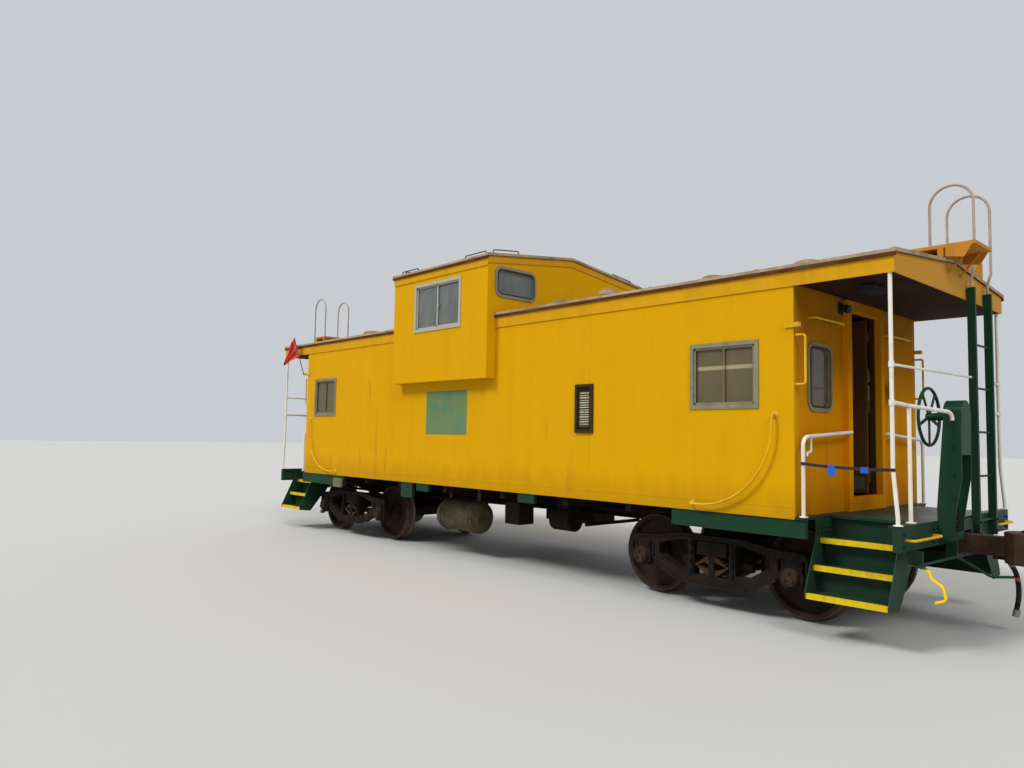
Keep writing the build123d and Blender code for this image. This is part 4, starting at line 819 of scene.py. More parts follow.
class Finish(Enum):
    """The finishes of the car, by the places that they are used."""

    CAB = CabYellow("cab_yellow", linear(209, 154, 0), linear(203, 153, 8), linear(140, 94, 16),
                    roughness=0.62, fading=0.35, streaks=0.07, dirt=0.06, chips=0.06)
    # Painted shade and painted warm bounce light: the end walls' yellow is a darker, more orange
    # copy of the cab's.
    END = CabYellow("end_yellow", linear(218, 140, 0), linear(208, 138, 6), linear(132, 80, 14),
                    roughness=0.7, fading=0.35, streaks=0.12, dirt=0.15, chips=0.1, sheen=0.02)
    # The fascias: brown on their ends as weathering and painted shade.
    BAND = WeatheredAndShaded("band_yellow", linear(206, 150, 2), linear(202, 152, 24), linear(120, 80, 24),
                  roughness=0.62, streaks=0.14, dirt=0.18, chips=0.25)
    GRABS = Paint("grab_yellow", linear(222, 172, 10), linear(212, 170, 50), linear(112, 78, 30),
                  dirt=0.25, chips=0.4, grain=2.0)
    DOOR = Paint("door_brown", linear(92, 58, 24), linear(104, 70, 36), linear(50, 32, 18),
                 roughness=0.5, fading=0.4, streaks=0.2, chips=0.2)
    GREEN = Paint("green_paint", linear(20, 54, 36), linear(34, 70, 50), linear(50, 50, 40),
                  linear(72, 62, 50), roughness=0.4, fading=0.35, streaks=0.12, dirt=0.25,
                  chips=0.3)
    DECK = TreadGreen("deck_green", linear(22, 52, 36), linear(36, 68, 50), linear(56, 54, 44),
                      linear(84, 76, 62), roughness=0.45, fading=0.4, streaks=0.12, dirt=0.4,
                      chips=0.35)
    LEVER = TwoTone("lever_green", linear(20, 54, 36), linear(34, 70, 50), linear(50, 50, 40),
                    linear(72, 62, 50), chips=0.4, grain=2.0, other=linear(236, 196, 16),
                    low=(5.3, 1.02, 0.0), high=(6.4, 1.6, 0.700))
    ROOF = RoofPaint("cream_paint", linear(176, 158, 128), linear(160, 144, 118),
                     linear(98, 76, 54), linear(104, 66, 40), roughness=0.8, fading=0.6,
                     streaks=0.1, dirt=0.5)
    # Painted shade: the platform ceilings' brown is darkened to the shade under the roof ends.
    SHADED_SOFFIT = Paint("soffit_brown", linear(44, 23, 8), linear(56, 32, 14), linear(24, 15, 10),
                   roughness=0.85, dirt=0.5)
    WALK = WalkBoards("walk_boards", linear(196, 132, 36), linear(178, 122, 52),
                      linear(92, 62, 34), roughness=0.7)
    LOUVER = Louvered("louver_dark", linear(54, 41, 18), linear(74, 58, 26), linear(26, 20, 14),
                      chips=0.35, grain=3.0)
    HOOP = Paint("hoop_white", linear(178, 162, 150), linear(158, 134, 116), linear(112, 76, 60),
                 linear(98, 60, 46), dirt=0.45, chips=0.9, grain=3.0)
    LAMP = Paint("lamp_grey", linear(30, 34, 36), linear(48, 50, 50), linear(24, 22, 20),
                 chips=0.2)
    JUNCTION = Paint("box_grey", linear(118, 114, 88), linear(132, 128, 104), linear(70, 64, 46),
                     dirt=0.4)
    WHITE = Paint("white_paint", linear(230, 226, 216), linear(210, 204, 188),
                  linear(136, 114, 88), linear(120, 74, 48), streaks=0.25, dirt=0.25, grain=2.0)
    EDGE = Paint("nosing_paint", linear(222, 190, 10), linear(204, 176, 40), linear(104, 88, 40),
                 linear(96, 84, 48), dirt=0.4, chips=0.6, grain=2.0)
    TRIM = Paint("drip_brown", linear(88, 50, 20), linear(108, 72, 40), linear(54, 34, 20),
                 dirt=0.5)
    ROD = Paint("brown_rod_paint", linear(104, 58, 40), linear(120, 78, 58), linear(64, 40, 32),
                dirt=0.4)
    TEAL = Paint("panel_teal", linear(70, 122, 98), linear(112, 128, 74), linear(142, 124, 36),
                 linear(186, 142, 10), fading=0.8, streaks=0.4, dirt=0.4, chips=0.75, grain=2.5)
    FRAME_METAL = FrameMetal("frame_aluminium", linear(142, 136, 112), linear(104, 92, 66),
                             linear(120, 108, 84), rusting=0.4, dusting=0.3, roughness=0.5,
                             metallic=0.4, depth=0.0004)
    RING_METAL = FrameMetal("ring_grey", linear(134, 124, 96), linear(104, 88, 58),
                            linear(120, 108, 84), rusting=0.4, dusting=0.2, roughness=0.55,
                            metallic=0.2, depth=0.0004, clean=linear(138, 132, 116))
    LINING = Iron("cabin_lining", linear(58, 40, 22), linear(70, 50, 30), linear(80, 66, 48),
                  rusting=0.3, dusting=0.2, roughness=0.8)
    UNDER = Iron("underframe_dark", linear(26, 22, 19), linear(58, 38, 27), linear(74, 64, 52),
                 rusting=0.4, dusting=0.3)
    TANK = Iron("tank_grey", linear(62, 62, 52), linear(104, 92, 56), linear(128, 122, 96),
                rusting=0.6, dusting=0.45, depth=0.001)
    TRUCK = Iron("cast_iron", linear(26, 23, 20), linear(50, 37, 28), linear(74, 64, 52),
                 rusting=0.45, dusting=0.3, depth=0.002)
    SPRING = Iron("spring_steel", linear(64, 44, 30), linear(88, 58, 38), linear(92, 78, 60),
                  dusting=0.2)
    WHEEL = WheelIron("wheel_iron", linear(44, 36, 31), linear(78, 52, 37), linear(92, 78, 62))
    RUST = Iron("rusty_iron", linear(52, 42, 33), linear(84, 54, 36), linear(92, 78, 62),
                rusting=0.6, depth=0.0025)
    BRIGHT = Iron("bright_steel", linear(150, 146, 138), rusting=0.25, roughness=0.4,
                  metallic=0.7)
    HOSE = HoseRubber("black_rubber", linear(22, 22, 24))
    RUBBER = Rubber("gasket_rubber", linear(26, 26, 27))
    GLASS = Glazing("dusty_glass")
    FLAG = Cloth("flag_cloth", linear(206, 44, 34), linear(176, 30, 28))
    STRAP = Cloth("strap_cloth", linear(34, 34, 40), linear(52, 52, 58))
    TAB = Cloth("tab_cloth", linear(38, 96, 196), linear(30, 78, 170))

    @cache
    def made(self) -> bpy.types.Material:
        """The finish's material, built once."""
        return self.value.material()


# Meshes


class Body(StrEnum):
    """The moving bodies that pieces ride on."""

    CAR = "car_body"
    TRUCK_FRONT = "truck_front"
    TRUCK_REAR = "truck_rear"
    DOOR_FRONT = "door_front"
    DOOR_REAR = "door_rear"
    COUPLER_FRONT = "coupler_front"
    COUPLER_REAR = "coupler_rear"


def placed(data: bpy.types.Mesh, name: str, finish: Finish, body: str) -> bpy.types.Object:
    """Links a mesh as a piece with one finish.

    Args:
        data: the mesh.
        name: the piece's name.
        finish: its finish.
        body: the body it rides on.

    Returns:
        The object.
    """
    data.materials.clear()
    data.materials.append(finish.made())
    piece = bpy.data.objects.new(name, data)
    bpy.context.scene.collection.objects.link(piece)
    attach(piece, body)
    log.info("%s: %d faces on %s", name, len(data.polygons), body)
    return piece


def outward(x: float, y: float, z: float) -> Matrix:
    """The place of a turned shape that stands off a side of the car, away from its middle."""
    turn = Matrix.Rotation(-math.copysign(math.pi / 2, y), 4, "X")
    return Matrix.Translation((x, y, z)) @ turn


class Mould:
    """A mesh being put together from simple closed shapes."""

    def __init__(self) -> None:
        """Starts an empty mesh."""
        self.mesh = bmesh.new()

    def slab(self, low: Point, high: Point, bevel: float = 0.0) -> None:
        """A box between two corners.

        Args:
            low: one corner.
            high: the corner opposite.
            bevel: how far its edges are eased.
        """
        size = [abs(b - a) for a, b in zip(low, high)]
        middle = [(a + b) / 2 for a, b in zip(low, high)]
        matrix = Matrix.Translation(middle) @ Matrix.Diagonal((*size, 1.0))
        made = bmesh.ops.create_cube(self.mesh, size=1.0, matrix=matrix)
        if bevel:
            edges = {edge for vert in made["verts"] for edge in vert.link_edges}
            bmesh.ops.bevel(self.mesh, geom=list(edges), offset=bevel, segments=2,
                            affect="EDGES")

    def rod(self, start: Point, end: Point, radius: float, sides: int = 16) -> None:
        """A round rod between two points.

        Args:
            start: the middle of one end.
            end: the middle of the other.
            radius: its radius.
            sides: how many flats it is made of.
        """
        a, b = Vector(start), Vector(end)
        turn = (b - a).to_track_quat("Z", "Y").to_matrix().to_4x4()
        place = Matrix.Translation((a + b) / 2) @ turn
        bmesh.ops.create_cone(self.mesh, cap_ends=True, segments=sides, radius1=radius,
                              radius2=radius, depth=(b - a).length, matrix=place)

    def lathe(self, profile: Sequence[Pair], place: Matrix, steps: int = 20) -> None:
        """A turned shape, solid from its axis out, or a band with a hole.

        Args:
            profile: points as a radius and a height, spun about the place's Z axis. They run
                from the axis back to the axis, or for a band back to the first of them.
            place: where the shape stands.
            steps: how many flats it is made of.
        """
        band = profile[0] == profile[-1]
        rings = []
        for radius, height in profile[:-1] if band else profile:
            ring = []
            for number in range(steps if radius else 1):
                angle = 2 * math.pi * number / steps
                spot = Vector((radius * math.cos(angle), radius * math.sin(angle), height))
                ring.append(self.mesh.verts.new(place @ spot))
            rings.append(ring)
        if band:
            rings.append(rings[0])
        for below, above in pairwise(rings):
            for number in range(steps):
                after = (number + 1) % steps
                sides = ((below, number), (below, after), (above, after), (above, number))
                corners = list(dict.fromkeys(ring[step % len(ring)] for ring, step in sides))
                if len(corners) > 2:
                    self.mesh.faces.new(corners)

    def plate(self, outline: Sequence[Point], thick: Point) -> None:
        """A flat plate.

        Args:
            outline: the points round one face.
            thick: the step to the other face.
        """
        near = [self.mesh.verts.new(Vector(point)) for point in outline]
        far = [self.mesh.verts.new(Vector(point) + Vector(thick)) for point in outline]
        self.mesh.faces.new(near[::-1])
        self.mesh.faces.new(far)
        for (a, b), (c, d) in zip(pairwise([*near, near[0]]), pairwise([*far, far[0]])):
            self.mesh.faces.new((a, b, d, c))

    def add(self, other: bpy.types.Mesh, matrix: Matrix = Matrix()) -> None:
        """Takes in a finished mesh.

        Args:
            other: the mesh.
            matrix: moves it on the way.
        """
        before = set(self.mesh.verts)
        self.mesh.from_mesh(other)
        fresh = [vert for vert in self.mesh.verts if vert not in before]
        bmesh.ops.transform(self.mesh, matrix=matrix, verts=fresh)

    def moved(self, matrix: Matrix) -> None:
        """Moves all that there is by a matrix."""
        bmesh.ops.transform(self.mesh, matrix=matrix, verts=self.mesh.verts)

    def doubled(self, matrix: Matrix) -> None:
        """Adds a copy of all that there is.

        Args:
            matrix: moves the copy.
        """
        copy = bpy.data.meshes.new("copy")
        self.mesh.to_mesh(copy)
        self.add(copy, matrix)
        bpy.data.meshes.remove(copy)

    def piece(self, name: str, finish: Finish, body: str, slot: str) -> bpy.types.Object:
        """Ends the mesh as a piece that rides on a body, its corners kept sharp.

        Args:
            name: the piece's name.
            finish: its finish.
            body: the body it rides on.
            slot: the record's material slot; not used.

        Returns:
            The object.
        """
        bmesh.ops.recalc_face_normals(self.mesh, faces=self.mesh.faces)
        for edge in self.mesh.edges:
            corner = len(edge.link_faces) != 2 or edge.calc_face_angle(0.0) > math.radians(40.0)
            edge.smooth = not corner
        for face in self.mesh.faces:
            face.smooth = True
        data = bpy.data.meshes.new(name)
        self.mesh.to_mesh(data)
        self.mesh.free()
        return placed(data, name, finish, body)


# Repeats by Geometry Nodes


class Repeat(Tree):
    """A geometry tree that sets one small shape on every point of a mesh, along its "out"."""

    SOCKETS = {"Geometry": "Geometry", "Radius": "Float", "Height": "Float", "Material": "Material"}

    def __init__(self, name: str, shape: Callable[[Repeat, Value, Value], Value]) -> None:
        """Builds the tree.

        Args:
            name: the tree's name.
            shape: writes the small shape's nodes for a radius and a height.
        """
        super().__init__(bpy.data.node_groups.new(name, "GeometryNodeTree"))
        face = self.tree.interface
        for title, kind in self.SOCKETS.items():
            face.new_socket(title, in_out="INPUT", socket_type="NodeSocket" + kind)
        face.new_socket("Geometry", in_out="OUTPUT", socket_type="NodeSocketGeometry")
        entry = self.raw("NodeGroupInput", {})
        given = {title: Value(self, entry.outputs[title]) for title in self.SOCKETS}
        small = shape(self, given["Radius"], given["Height"])
        vector = {"data_type": "FLOAT_VECTOR"}
        out = self.node("GeometryNodeInputNamedAttribute", vector, {"Name": "out"})
        turn = self.node("FunctionNodeAlignRotationToVector", {"axis": "Z"}, {"Vector": out})
        inputs = {"Points": given["Geometry"], "Instance": small, "Rotation": turn}
        instances = self.node("GeometryNodeInstanceOnPoints", {}, inputs)
        real = self.node("GeometryNodeRealizeInstances", {}, [instances])
        inputs = {"Geometry": real, "Material": given["Material"]}
        self.raw("NodeGroupOutput", {}, [self.node("GeometryNodeSetMaterial", {}, inputs)])

    def set_on(self, spots: Sequence[Spot], radius: float, height: float,
               finish: Finish) -> bpy.types.Mesh:
        """A plain mesh of the shape on every spot.

        Args:
            spots: pairs of a point and the way that the shape faces.
            radius: the shape's radius.
            height: its height off the surface.
            finish: its finish.

        Returns:
            The mesh.
        """
        data = bpy.data.meshes.new("spots")
        data.from_pydata([point for point, _ in spots], [], [])
        facing = data.attributes.new("out", "FLOAT_VECTOR", "POINT")
        facing.data.foreach_set("vector", [value for _, way in spots for value in way])
        holder = bpy.data.objects.new("spots", data)
        bpy.context.scene.collection.objects.link(holder)
        modifier = holder.modifiers.new("repeat", "NODES")
        modifier.node_group = self.tree
        given = {"Radius": radius, "Height": height, "Material": finish.made()}
        for item in self.tree.interface.items_tree:
            if item.in_out == "INPUT" and item.name in given:
                modifier[item.identifier] = given[item.name]
        bpy.context.view_layer.update()
        graph = bpy.context.evaluated_depsgraph_get()
        result = bpy.data.meshes.new_from_object(holder.evaluated_get(graph))
        bpy.data.objects.remove(holder)
        bpy.data.meshes.remove(data)
        return result

    def piece(self, spots: Sequence[Spot], size: Pair, name: str, finish: Finish, body: str,
              slot: str) -> bpy.types.Object:
        """A piece of its own, with the shape on every spot.

        Args:
            spots: pairs of a point and the way that the shape faces.
            size: the shape's radius and its height.
            name: the piece's name.
            finish: its finish.
            body: the body it rides on.
            slot: the record's material slot; not used.

        Returns:
            The object.
        """
        return placed(self.set_on(spots, *size, finish), name, finish, body)


def bolt_shape(tree: Repeat, radius: Value, height: Value) -> Value:
    """A six-sided bolt head."""
    cone = {"Vertices": 6, "Radius Top": radius * 0.9, "Radius Bottom": radius, "Depth": height}
    return tree.node("GeometryNodeMeshCone", {}, cone)


def rivet_shape(tree: Repeat, radius: Value, height: Value) -> Value:
    """A low round rivet head.

    Args:
        tree: the tree being written.
        radius: the head's radius.
        height: how far it stands up.

    Returns:
        Its geometry.
    """
    ball = tree.node("GeometryNodeMeshUVSphere", {}, {"Segments": 10, "Rings": 6, "Radius": radius})
    flat = tree.node("ShaderNodeCombineXYZ", {}, [1.0, 1.0, height / radius])
    return tree.node("GeometryNodeTransform", {}, {"Geometry": ball, "Scale": flat})


def link_shape(tree: Repeat, radius: Value, height: Value, stretch: Point) -> Value:
    """A chain's link: a ring drawn out one way.

    Args:
        tree: the tree being written.
        radius: half the link's width.
        height: the radius of its wire.
        stretch: how much it is drawn out along each axis.

    Returns:
        Its geometry.
    """
    ring = tree.node("GeometryNodeCurvePrimitiveCircle", {}, {"Resolution": 16, "Radius": radius})
    long = tree.node("GeometryNodeTransform", {}, {"Geometry": ring, "Scale": stretch})
    wire = tree.node("GeometryNodeCurvePrimitiveCircle", {}, {"Resolution": 8, "Radius": height})
    return tree.node("GeometryNodeCurveToMesh", {}, {"Curve": long, "Profile Curve": wire})


@cache
def bolts() -> Repeat:
    """The tree that sets bolt heads."""
    return Repeat("bolts", bolt_shape)


@cache
def rivets() -> Repeat:
    """The tree that sets rivets."""
    return Repeat("rivets", rivet_shape)


@cache
def links(turn: int) -> Repeat:
    """The tree that sets a chain's links, every other one turned."""
    stretch = ((1.55, 1.0, 1.0), (1.0, 1.55, 1.0))[turn]
    return Repeat(f"links_{turn}", partial(link_shape, stretch=stretch))


def row(start: Point, end: Point, count: int, way: Point) -> list[Spot]:
    """Evenly spaced spots from one point to another, all facing one way."""
    a, b = Vector(start), Vector(end)
    return [(tuple(a.lerp(b, number / (count - 1))), way) for number in range(count)]


def turned_spots(spots: Iterable[Spot], turn: Matrix) -> list[Spot]:
    """Spots turned or mirrored by a matrix."""
    flat = turn.to_3x3()
    return [(tuple(turn @ Vector(point)), tuple(flat @ Vector(way))) for point, way in spots]


# The car's own metal


@dataclass
class Ironwork:
    """The finishes of the solids that stay as they are."""

    wearers: tuple[tuple[Finish, str], ...] = (
        (Finish.CAB, "side_walls cupola_ends cupola_sides cupola_pans"),
        (Finish.END, "end_walls"),
        (Finish.DOOR, "door_front door_rear"),
        (Finish.BAND, "fascias"),
        (Finish.GRABS, "grab_irons"),
        (Finish.LOUVER, "louver"),
        (Finish.WALK, "roof_walks"),
        (Finish.DECK, "platforms steps"),
        (Finish.GREEN, "side_sills brake_stands ladders brake_wheel_front brake_wheel_rear"),
        (Finish.ROOF, "main_roof cupola_roof roof_caps"),
        (Finish.HOOP, "roof_hoops"),
        (Finish.SHADED_SOFFIT, "platform_ceilings"),
        (Finish.LINING, "floor"),
        (Finish.WHITE, "railings"),
        (Finish.EDGE, "step_nosings"),
        (Finish.LEVER, "uncoupling_levers"),
        (Finish.FRAME_METAL, "window_frames"),
        (Finish.RING_METAL, "window_rings"),
        (Finish.GLASS, "window_glass door_front_glass door_rear_glass"),
        (Finish.UNDER, "underframe train_line brake_cylinder control_valve battery_box"),
        (Finish.TANK, "air_reservoir"),
        (Finish.ROD, "roof_rods flag_staff"),
        (Finish.RUST, "coupler_front coupler_rear"),
        (Finish.HOSE, "air_hoses"),
        (Finish.BRIGHT, "hose_couplings"),
        (Finish.SPRING, "truck_front_springs truck_rear_springs"),
        (Finish.FLAG, "flag"),
        (Finish.WHEEL, "wheelset_1 wheelset_2 wheelset_3 wheelset_4"),
    )

    def dress(self, nodes: dict[str, bpy.types.Object]) -> None:
        """Gives every solid its finish, and what is left, the trucks, the cast iron.

        Args:
            nodes: the solids by name.
        """
        worn = {name: finish for finish, names in self.wearers for name in names.split()}
        for name, node in nodes.items():
            finish = worn.get(name, Finish.TRUCK)
            node.data.materials.clear()
            node.data.materials.append(finish.made())
            log.info("%s wears %s", name, finish.value.name)


# Small iron and trim


@dataclass
class SidePanel:
    """The bare teal panel on the right side."""

    low: Point = (-0.983, -1.4110, up(1.686))
    high: Point = (-0.065, -1.4096, up(2.293))

    def build(self) -> None:
        """The panel."""
        panel = Mould()
        panel.slab(self.low, self.high)
        panel.piece("side_panel", Finish.TEAL, Body.CAR, "body_yellow")


@dataclass(frozen=True)
class Opening:
    """A window's frame: its edges along the wall, its sill and head, and the wall's face."""

    left: float
    right: float
    sill: float
    head: float
    wall: float

    def inset(self, by: float) -> Opening:
        """The same window, smaller all round."""
        return Opening(self.left + by, self.right - by, self.sill + by, self.head - by, self.wall)

    def bars(self, wide: float, lapped: bool) -> tuple[tuple[float, float, float, float], ...]:
        """The four bars along its inner edge, the uprights first.

        Args:
            wide: how wide they are.
            lapped: whether the uprights run on into the corners.

        Returns:
            Two places across and two heights for each bar.
        """
        clear = self.inset(wide)
        foot, top = (self.sill, self.head) if lapped else (clear.sill, clear.head)
        return ((self.left, clear.left, foot, top), (clear.right, self.right, foot, top),
                (self.left, self.right, self.sill, clear.sill),
                (self.left, self.right, clear.head, self.head))


@dataclass
class Glazier:
    """The rivets round the window frames of both sides, and the sashes inside them."""

    body: tuple[Opening, Opening] = (Opening(3.472, 4.225, up(1.977), up(2.622), BODY_SIDE),
                                     Opening(-4.280, -3.560, up(1.970), up(2.615), BODY_SIDE))
    cupola: Opening = Opening(-1.120, -0.055, up(3.130), up(3.820), CUPOLA_SIDE)
    border: float = 0.042
    proud: float = 0.012
    pitch: float = 0.085
    rivet: Pair = (0.0055, 0.003)
    bar: float = 0.022
    thick: float = 0.009
    outer: float = 0.011
    inner: float = 0.020
    lap: float = 0.012
    latch: tuple[Point, Point] = ((0.020, -0.006, -0.030), (0.036, 0.006, 0.030))

    def rivets(self) -> list[Spot]:
        """Spots all round each frame of the right side, and of the left.

        Returns:
            The spots.
        """
        spots: list[Spot] = []
        for window in (*self.body, self.cupola):
            line, y = window.inset(self.border / 2), -window.wall - self.proud
            across = round((line.right - line.left) / self.pitch)
            tall = round((line.head - line.sill) / self.pitch)
            for z in (line.sill, line.head):
                spots += row((line.left, y, z), (line.right, y, z), across, RIGHT)
            for x in (line.left, line.right):
                spots += row((x, y, line.sill), (x, y, line.head), tall, RIGHT)[1:-1]
        return spots + turned_spots(spots, MIRROR_Y)

    def sash(self, mould: Mould, pane: Opening, back: float) -> None:
        """The four bars of one sash.

        Args:
            mould: the mesh that takes them.
            pane: the sash's own edges.
            back: how far its outer face lies inside the wall's.
        """
        face = back - pane.wall
        for x0, x1, z0, z1 in pane.bars(self.bar, lapped=True):
            mould.slab((x0, face - self.thick, z0), (x1, face, z1), 0.002)

    def sashes(self) -> None:
        """One sash to each body window, and two that slide past each other to the cupola's."""
        mould = Mould()
        for window in self.body:
            self.sash(mould, window.inset(self.border), self.outer)
        pane = self.cupola.inset(self.border)
        middle = Vector(((pane.left + pane.right) / 2, -pane.wall, (pane.sill + pane.head) / 2))
        self.sash(mould, replace(pane, right=middle.x + self.lap), self.inner)
        self.sash(mould, replace(pane, left=middle.x - self.lap), self.outer)
        mould.slab(*(middle + Vector(corner) for corner in self.latch), 0.003)
        mould.doubled(MIRROR_Y)
        mould.piece("window_sashes", Finish.FRAME_METAL, Body.CAR, "window_frame")

    def build(self) -> None:
        """The rivets and the sashes."""
        rivets().piece(self.rivets(), self.rivet, "window_rivets", Finish.FRAME_METAL, Body.CAR,
                       "window_frame")
        self.sashes()


@dataclass
class Gaskets:
    """The dark rubber inside each rounded window's ring."""

    end: Opening = Opening(-1.170, -0.680, up(1.955), up(2.600), END_WALL)
    cupola: Opening = Opening(-1.440, -0.700, up(3.490), up(3.900), 0.489)
    border: float = 0.052
    corner: float = 0.058
    wide: float = 0.016
    face: float = 0.014
    proud: float = 0.0015
    steps: int = 8

    def loop(self, middle: Opening, radius: float) -> list[Pair]:
        """The points round a window with rounded corners.

        Args:
            middle: the middles of the corners' curves.
            radius: the curves' radius.

        Returns:
            Points as a place across and a height.
        """
        corners = ((middle.right, middle.head), (middle.left, middle.head),
                   (middle.left, middle.sill), (middle.right, middle.sill))
        points = []
        for number, (across, height) in enumerate(corners):
            for step in range(self.steps + 1):
                angle = (number + step / self.steps) * math.pi / 2
                dx, dz = radius * math.cos(angle), radius * math.sin(angle)
                points.append((across + dx, height + dz))
        return points

    def band(self, mould: Mould, window: Opening) -> None:
        """The band along one ring's inner edge.

        Args:
            mould: the mesh that takes it.
            window: the ring's own edges.
        """
        middle, x = window.inset(self.border + self.corner), window.wall + self.face
        inner, outer = self.loop(middle, self.corner), self.loop(middle, self.corner + self.wide)
        for (a, b), (c, d) in zip(pairwise([*inner, inner[0]]), pairwise([*outer, outer[0]])):
            mould.plate([(x, y, z) for y, z in (a, b, d, c)], (self.proud, 0, 0))

    def build(self) -> None:
        """The bands of every rounded window."""
        end, cupola = Mould(), Mould()
        self.band(end, self.end)
        end.doubled(End.REAR.turn())
        self.band(cupola, self.cupola)
        cupola.doubled(MIRROR_Y)
        there = Matrix.Translation((CUPOLA_X, 0, 0))
        cupola.doubled(there @ End.REAR.turn() @ there.inverted())
        end.piece("end_gaskets", Finish.RUBBER, Body.CAR, "hose_rubber")
        cupola.piece("cupola_gaskets", Finish.RUBBER, Body.CAR, "hose_rubber")


@dataclass
class Lamps:
    """The dark lamps over each platform, and the small box low on the right side."""

    mount: tuple[Point, Point] = ((END_WALL, -0.525, up(2.930)),
                                  (END_WALL + 0.012, -0.435, up(3.050)))
    barrel: tuple[Point, ...] = ((END_WALL + 0.012, -0.48, up(2.990)),
                                 (END_WALL + 0.075, -0.48, up(2.975)),
                                 (END_WALL + 0.095, -0.48, up(2.970)))
    radii: Pair = (0.034, 0.040)
    dome: tuple[Point, Point] = ((5.02, -1.13, up(3.009)), (5.16, -0.82, up(3.064)))
    low: Point = (-3.490, -1.452, up(0.800))
    high: Point = (-3.245, -1.4105, up(0.945))
    fins: tuple[float, ...] = (0.025, 0.070, 0.115, 0.160, 0.205)
    fin_width: float = 0.014
    fin_proud: Pair = (0.006, 0.001)
    fin_gap: float = 0.02

    def lamps(self) -> None:
        """A lamp on each end wall and one under each roof end."""
        lamps = Mould()
        lamps.slab(*self.mount, 0.003)
        for (start, end), radius in zip(pairwise(self.barrel), self.radii):
            lamps.rod(start, end, radius, 20)
        lamps.slab(*self.dome, 0.012)
        lamps.doubled(End.REAR.turn())
        lamps.piece("platform_lamps", Finish.LAMP, Body.CAR, "hose_rubber")

    def build(self) -> None:
        """The lamps, and the box with its fins."""
        self.lamps()
        box, low, high = Mould(), self.low, self.high
        box.slab(low, high, 0.006)
        (left, face, foot), (out, sunk) = low, self.fin_proud
        for along in self.fins:
            x = left + along
            box.slab((x, face - out, foot + self.fin_gap),
                     (x + self.fin_width, face + sunk, high[2] - self.fin_gap), 0.002)
        box.piece("side_box", Finish.JUNCTION, Body.CAR, "window_frame")


@dataclass
class RoofTrim:
    """The seam caps across the roofs, and the rivets along them."""

    ends: tuple[Pair, Pair] = ((0.489, 5.468), (-5.468, -1.645))
    cupola: Pair = (-1.675, 0.519)
    pitch: float = 1.22
    margin: float = 0.022
    half: float = 0.02
    thick: float = 0.007
    rivet: Pair = (0.008, 0.005)
    rivet_y: Pair = (BODY_ROOF.edge - 0.06, 0.05)
    rivet_count: int = 14

    def seams(self, ends: Pair, bays: int) -> list[float]:
        """Where the seams lie, from a roof's one edge to the other."""
        start, end = ends[0] + self.margin, ends[1] - self.margin
        return [start + (end - start) * number / bays for number in range(bays + 1)]

    def seam(self, mould: Mould, x: float, roof: Gable) -> None:
        """One seam cap across a roof, in two straight runs.

        Args:
            mould: the mesh that takes it.
            x: where it lies.
            roof: the roof that it lies on.
        """
        for side in (-1, 1):
            y = side * (roof.edge - 0.004)
            outline = [(x + step * self.half, across, roof.height(across))
                       for step, across in ((-1, y), (1, y), (1, 0.0), (-1, 0.0))]
            mould.plate(outline, (0, 0, self.thick))

    def build(self) -> None:
        """The seam caps, and the body roof's rivets."""
        caps = Mould()
        spots: list[Spot] = []
        for ends in self.ends:
            for x in self.seams(ends, round((ends[1] - ends[0]) / self.pitch)):
                self.seam(caps, x, BODY_ROOF)
                for side in (-1, 1):
                    far, near = ((x, side * y, BODY_ROOF.height(y) + self.thick)
                                 for y in self.rivet_y)
                    spots += row(far, near, self.rivet_count, UPWARD)
        for x in self.seams(self.cupola, 3):
            self.seam(caps, x, CUPOLA_ROOF)
        caps.piece("roof_seam_caps", Finish.ROOF, Body.CAR, "roof_cream")
        rivets().piece(spots, self.rivet, "roof_rivets", Finish.ROOF, Body.CAR, "roof_cream")


@dataclass
class DoorIron:
    """The handle, lock and kick plate of each door, and the beads round its glass."""

    hinge: Pair = (4.494, 0.342)
    leaf: Pair = (4.502, 4.546)
    open_turn: float = -math.pi / 2
    handle: Pair = (-0.279, up(2.03))
    rose: tuple[Pair, Pair] = ((-0.03, -0.08), (0.03, 0.10))
    rose_thick: float = 0.006
    spindle: Pair = (0.05, 0.011)
    grip: Pair = (0.045, 0.009)
    grip_y: Pair = (-0.01, 0.12)
    kick: Pair = (up(1.19), up(1.32))
    kick_half: float = 0.309
    kick_thick: float = 0.003
    glass: Opening = Opening(-0.21, 0.21, up(2.15), up(2.77), 4.546)
    bead: Pair = (0.010, 0.008)

    def iron(self, mould: Mould) -> None:
        """One shut door's iron, on both faces of the leaf.

        Args:
            mould: the mesh that takes it.
        """
        (y, z), (wide, proud) = self.handle, self.bead
        (y0, z0), (y1, z1) = self.rose
        (near, far), (foot, top) = self.grip_y, self.kick
        for x, way in ((self.leaf[1], 1), (self.leaf[0], -1)):
            mould.slab((x, y + y0, z + z0), (x + way * self.rose_thick, y + y1, z + z1), 0.002)
            mould.rod((x, y, z), (x + way * self.spindle[0], y, z), self.spindle[1])
            grip = x + way * self.grip[0]
            mould.rod((grip, y + near, z), (grip, y + far, z), self.grip[1])
            mould.slab((x, -self.kick_half, foot), (x + way * self.kick_thick, self.kick_half, top))
            for left, right, sill, head in self.glass.bars(wide, lapped=False):
                mould.slab((x, left, sill), (x + way * proud, right, head), 0.002)

    def build(self) -> None:
        """The front door's iron as it stands open, and the rear door's."""
        there = Matrix.Translation((*self.hinge, 0))
        swung = there @ Matrix.Rotation(self.open_turn, 4, "Z") @ there.inverted()
        for end, body, turn in ((End.FRONT, Body.DOOR_FRONT, swung),
                                (End.REAR, Body.DOOR_REAR, End.REAR.turn())):
            mould = Mould()
            self.iron(mould)
            mould.moved(turn)
            mould.piece("door_iron_" + end.label(), Finish.BRIGHT, body, "window_frame")


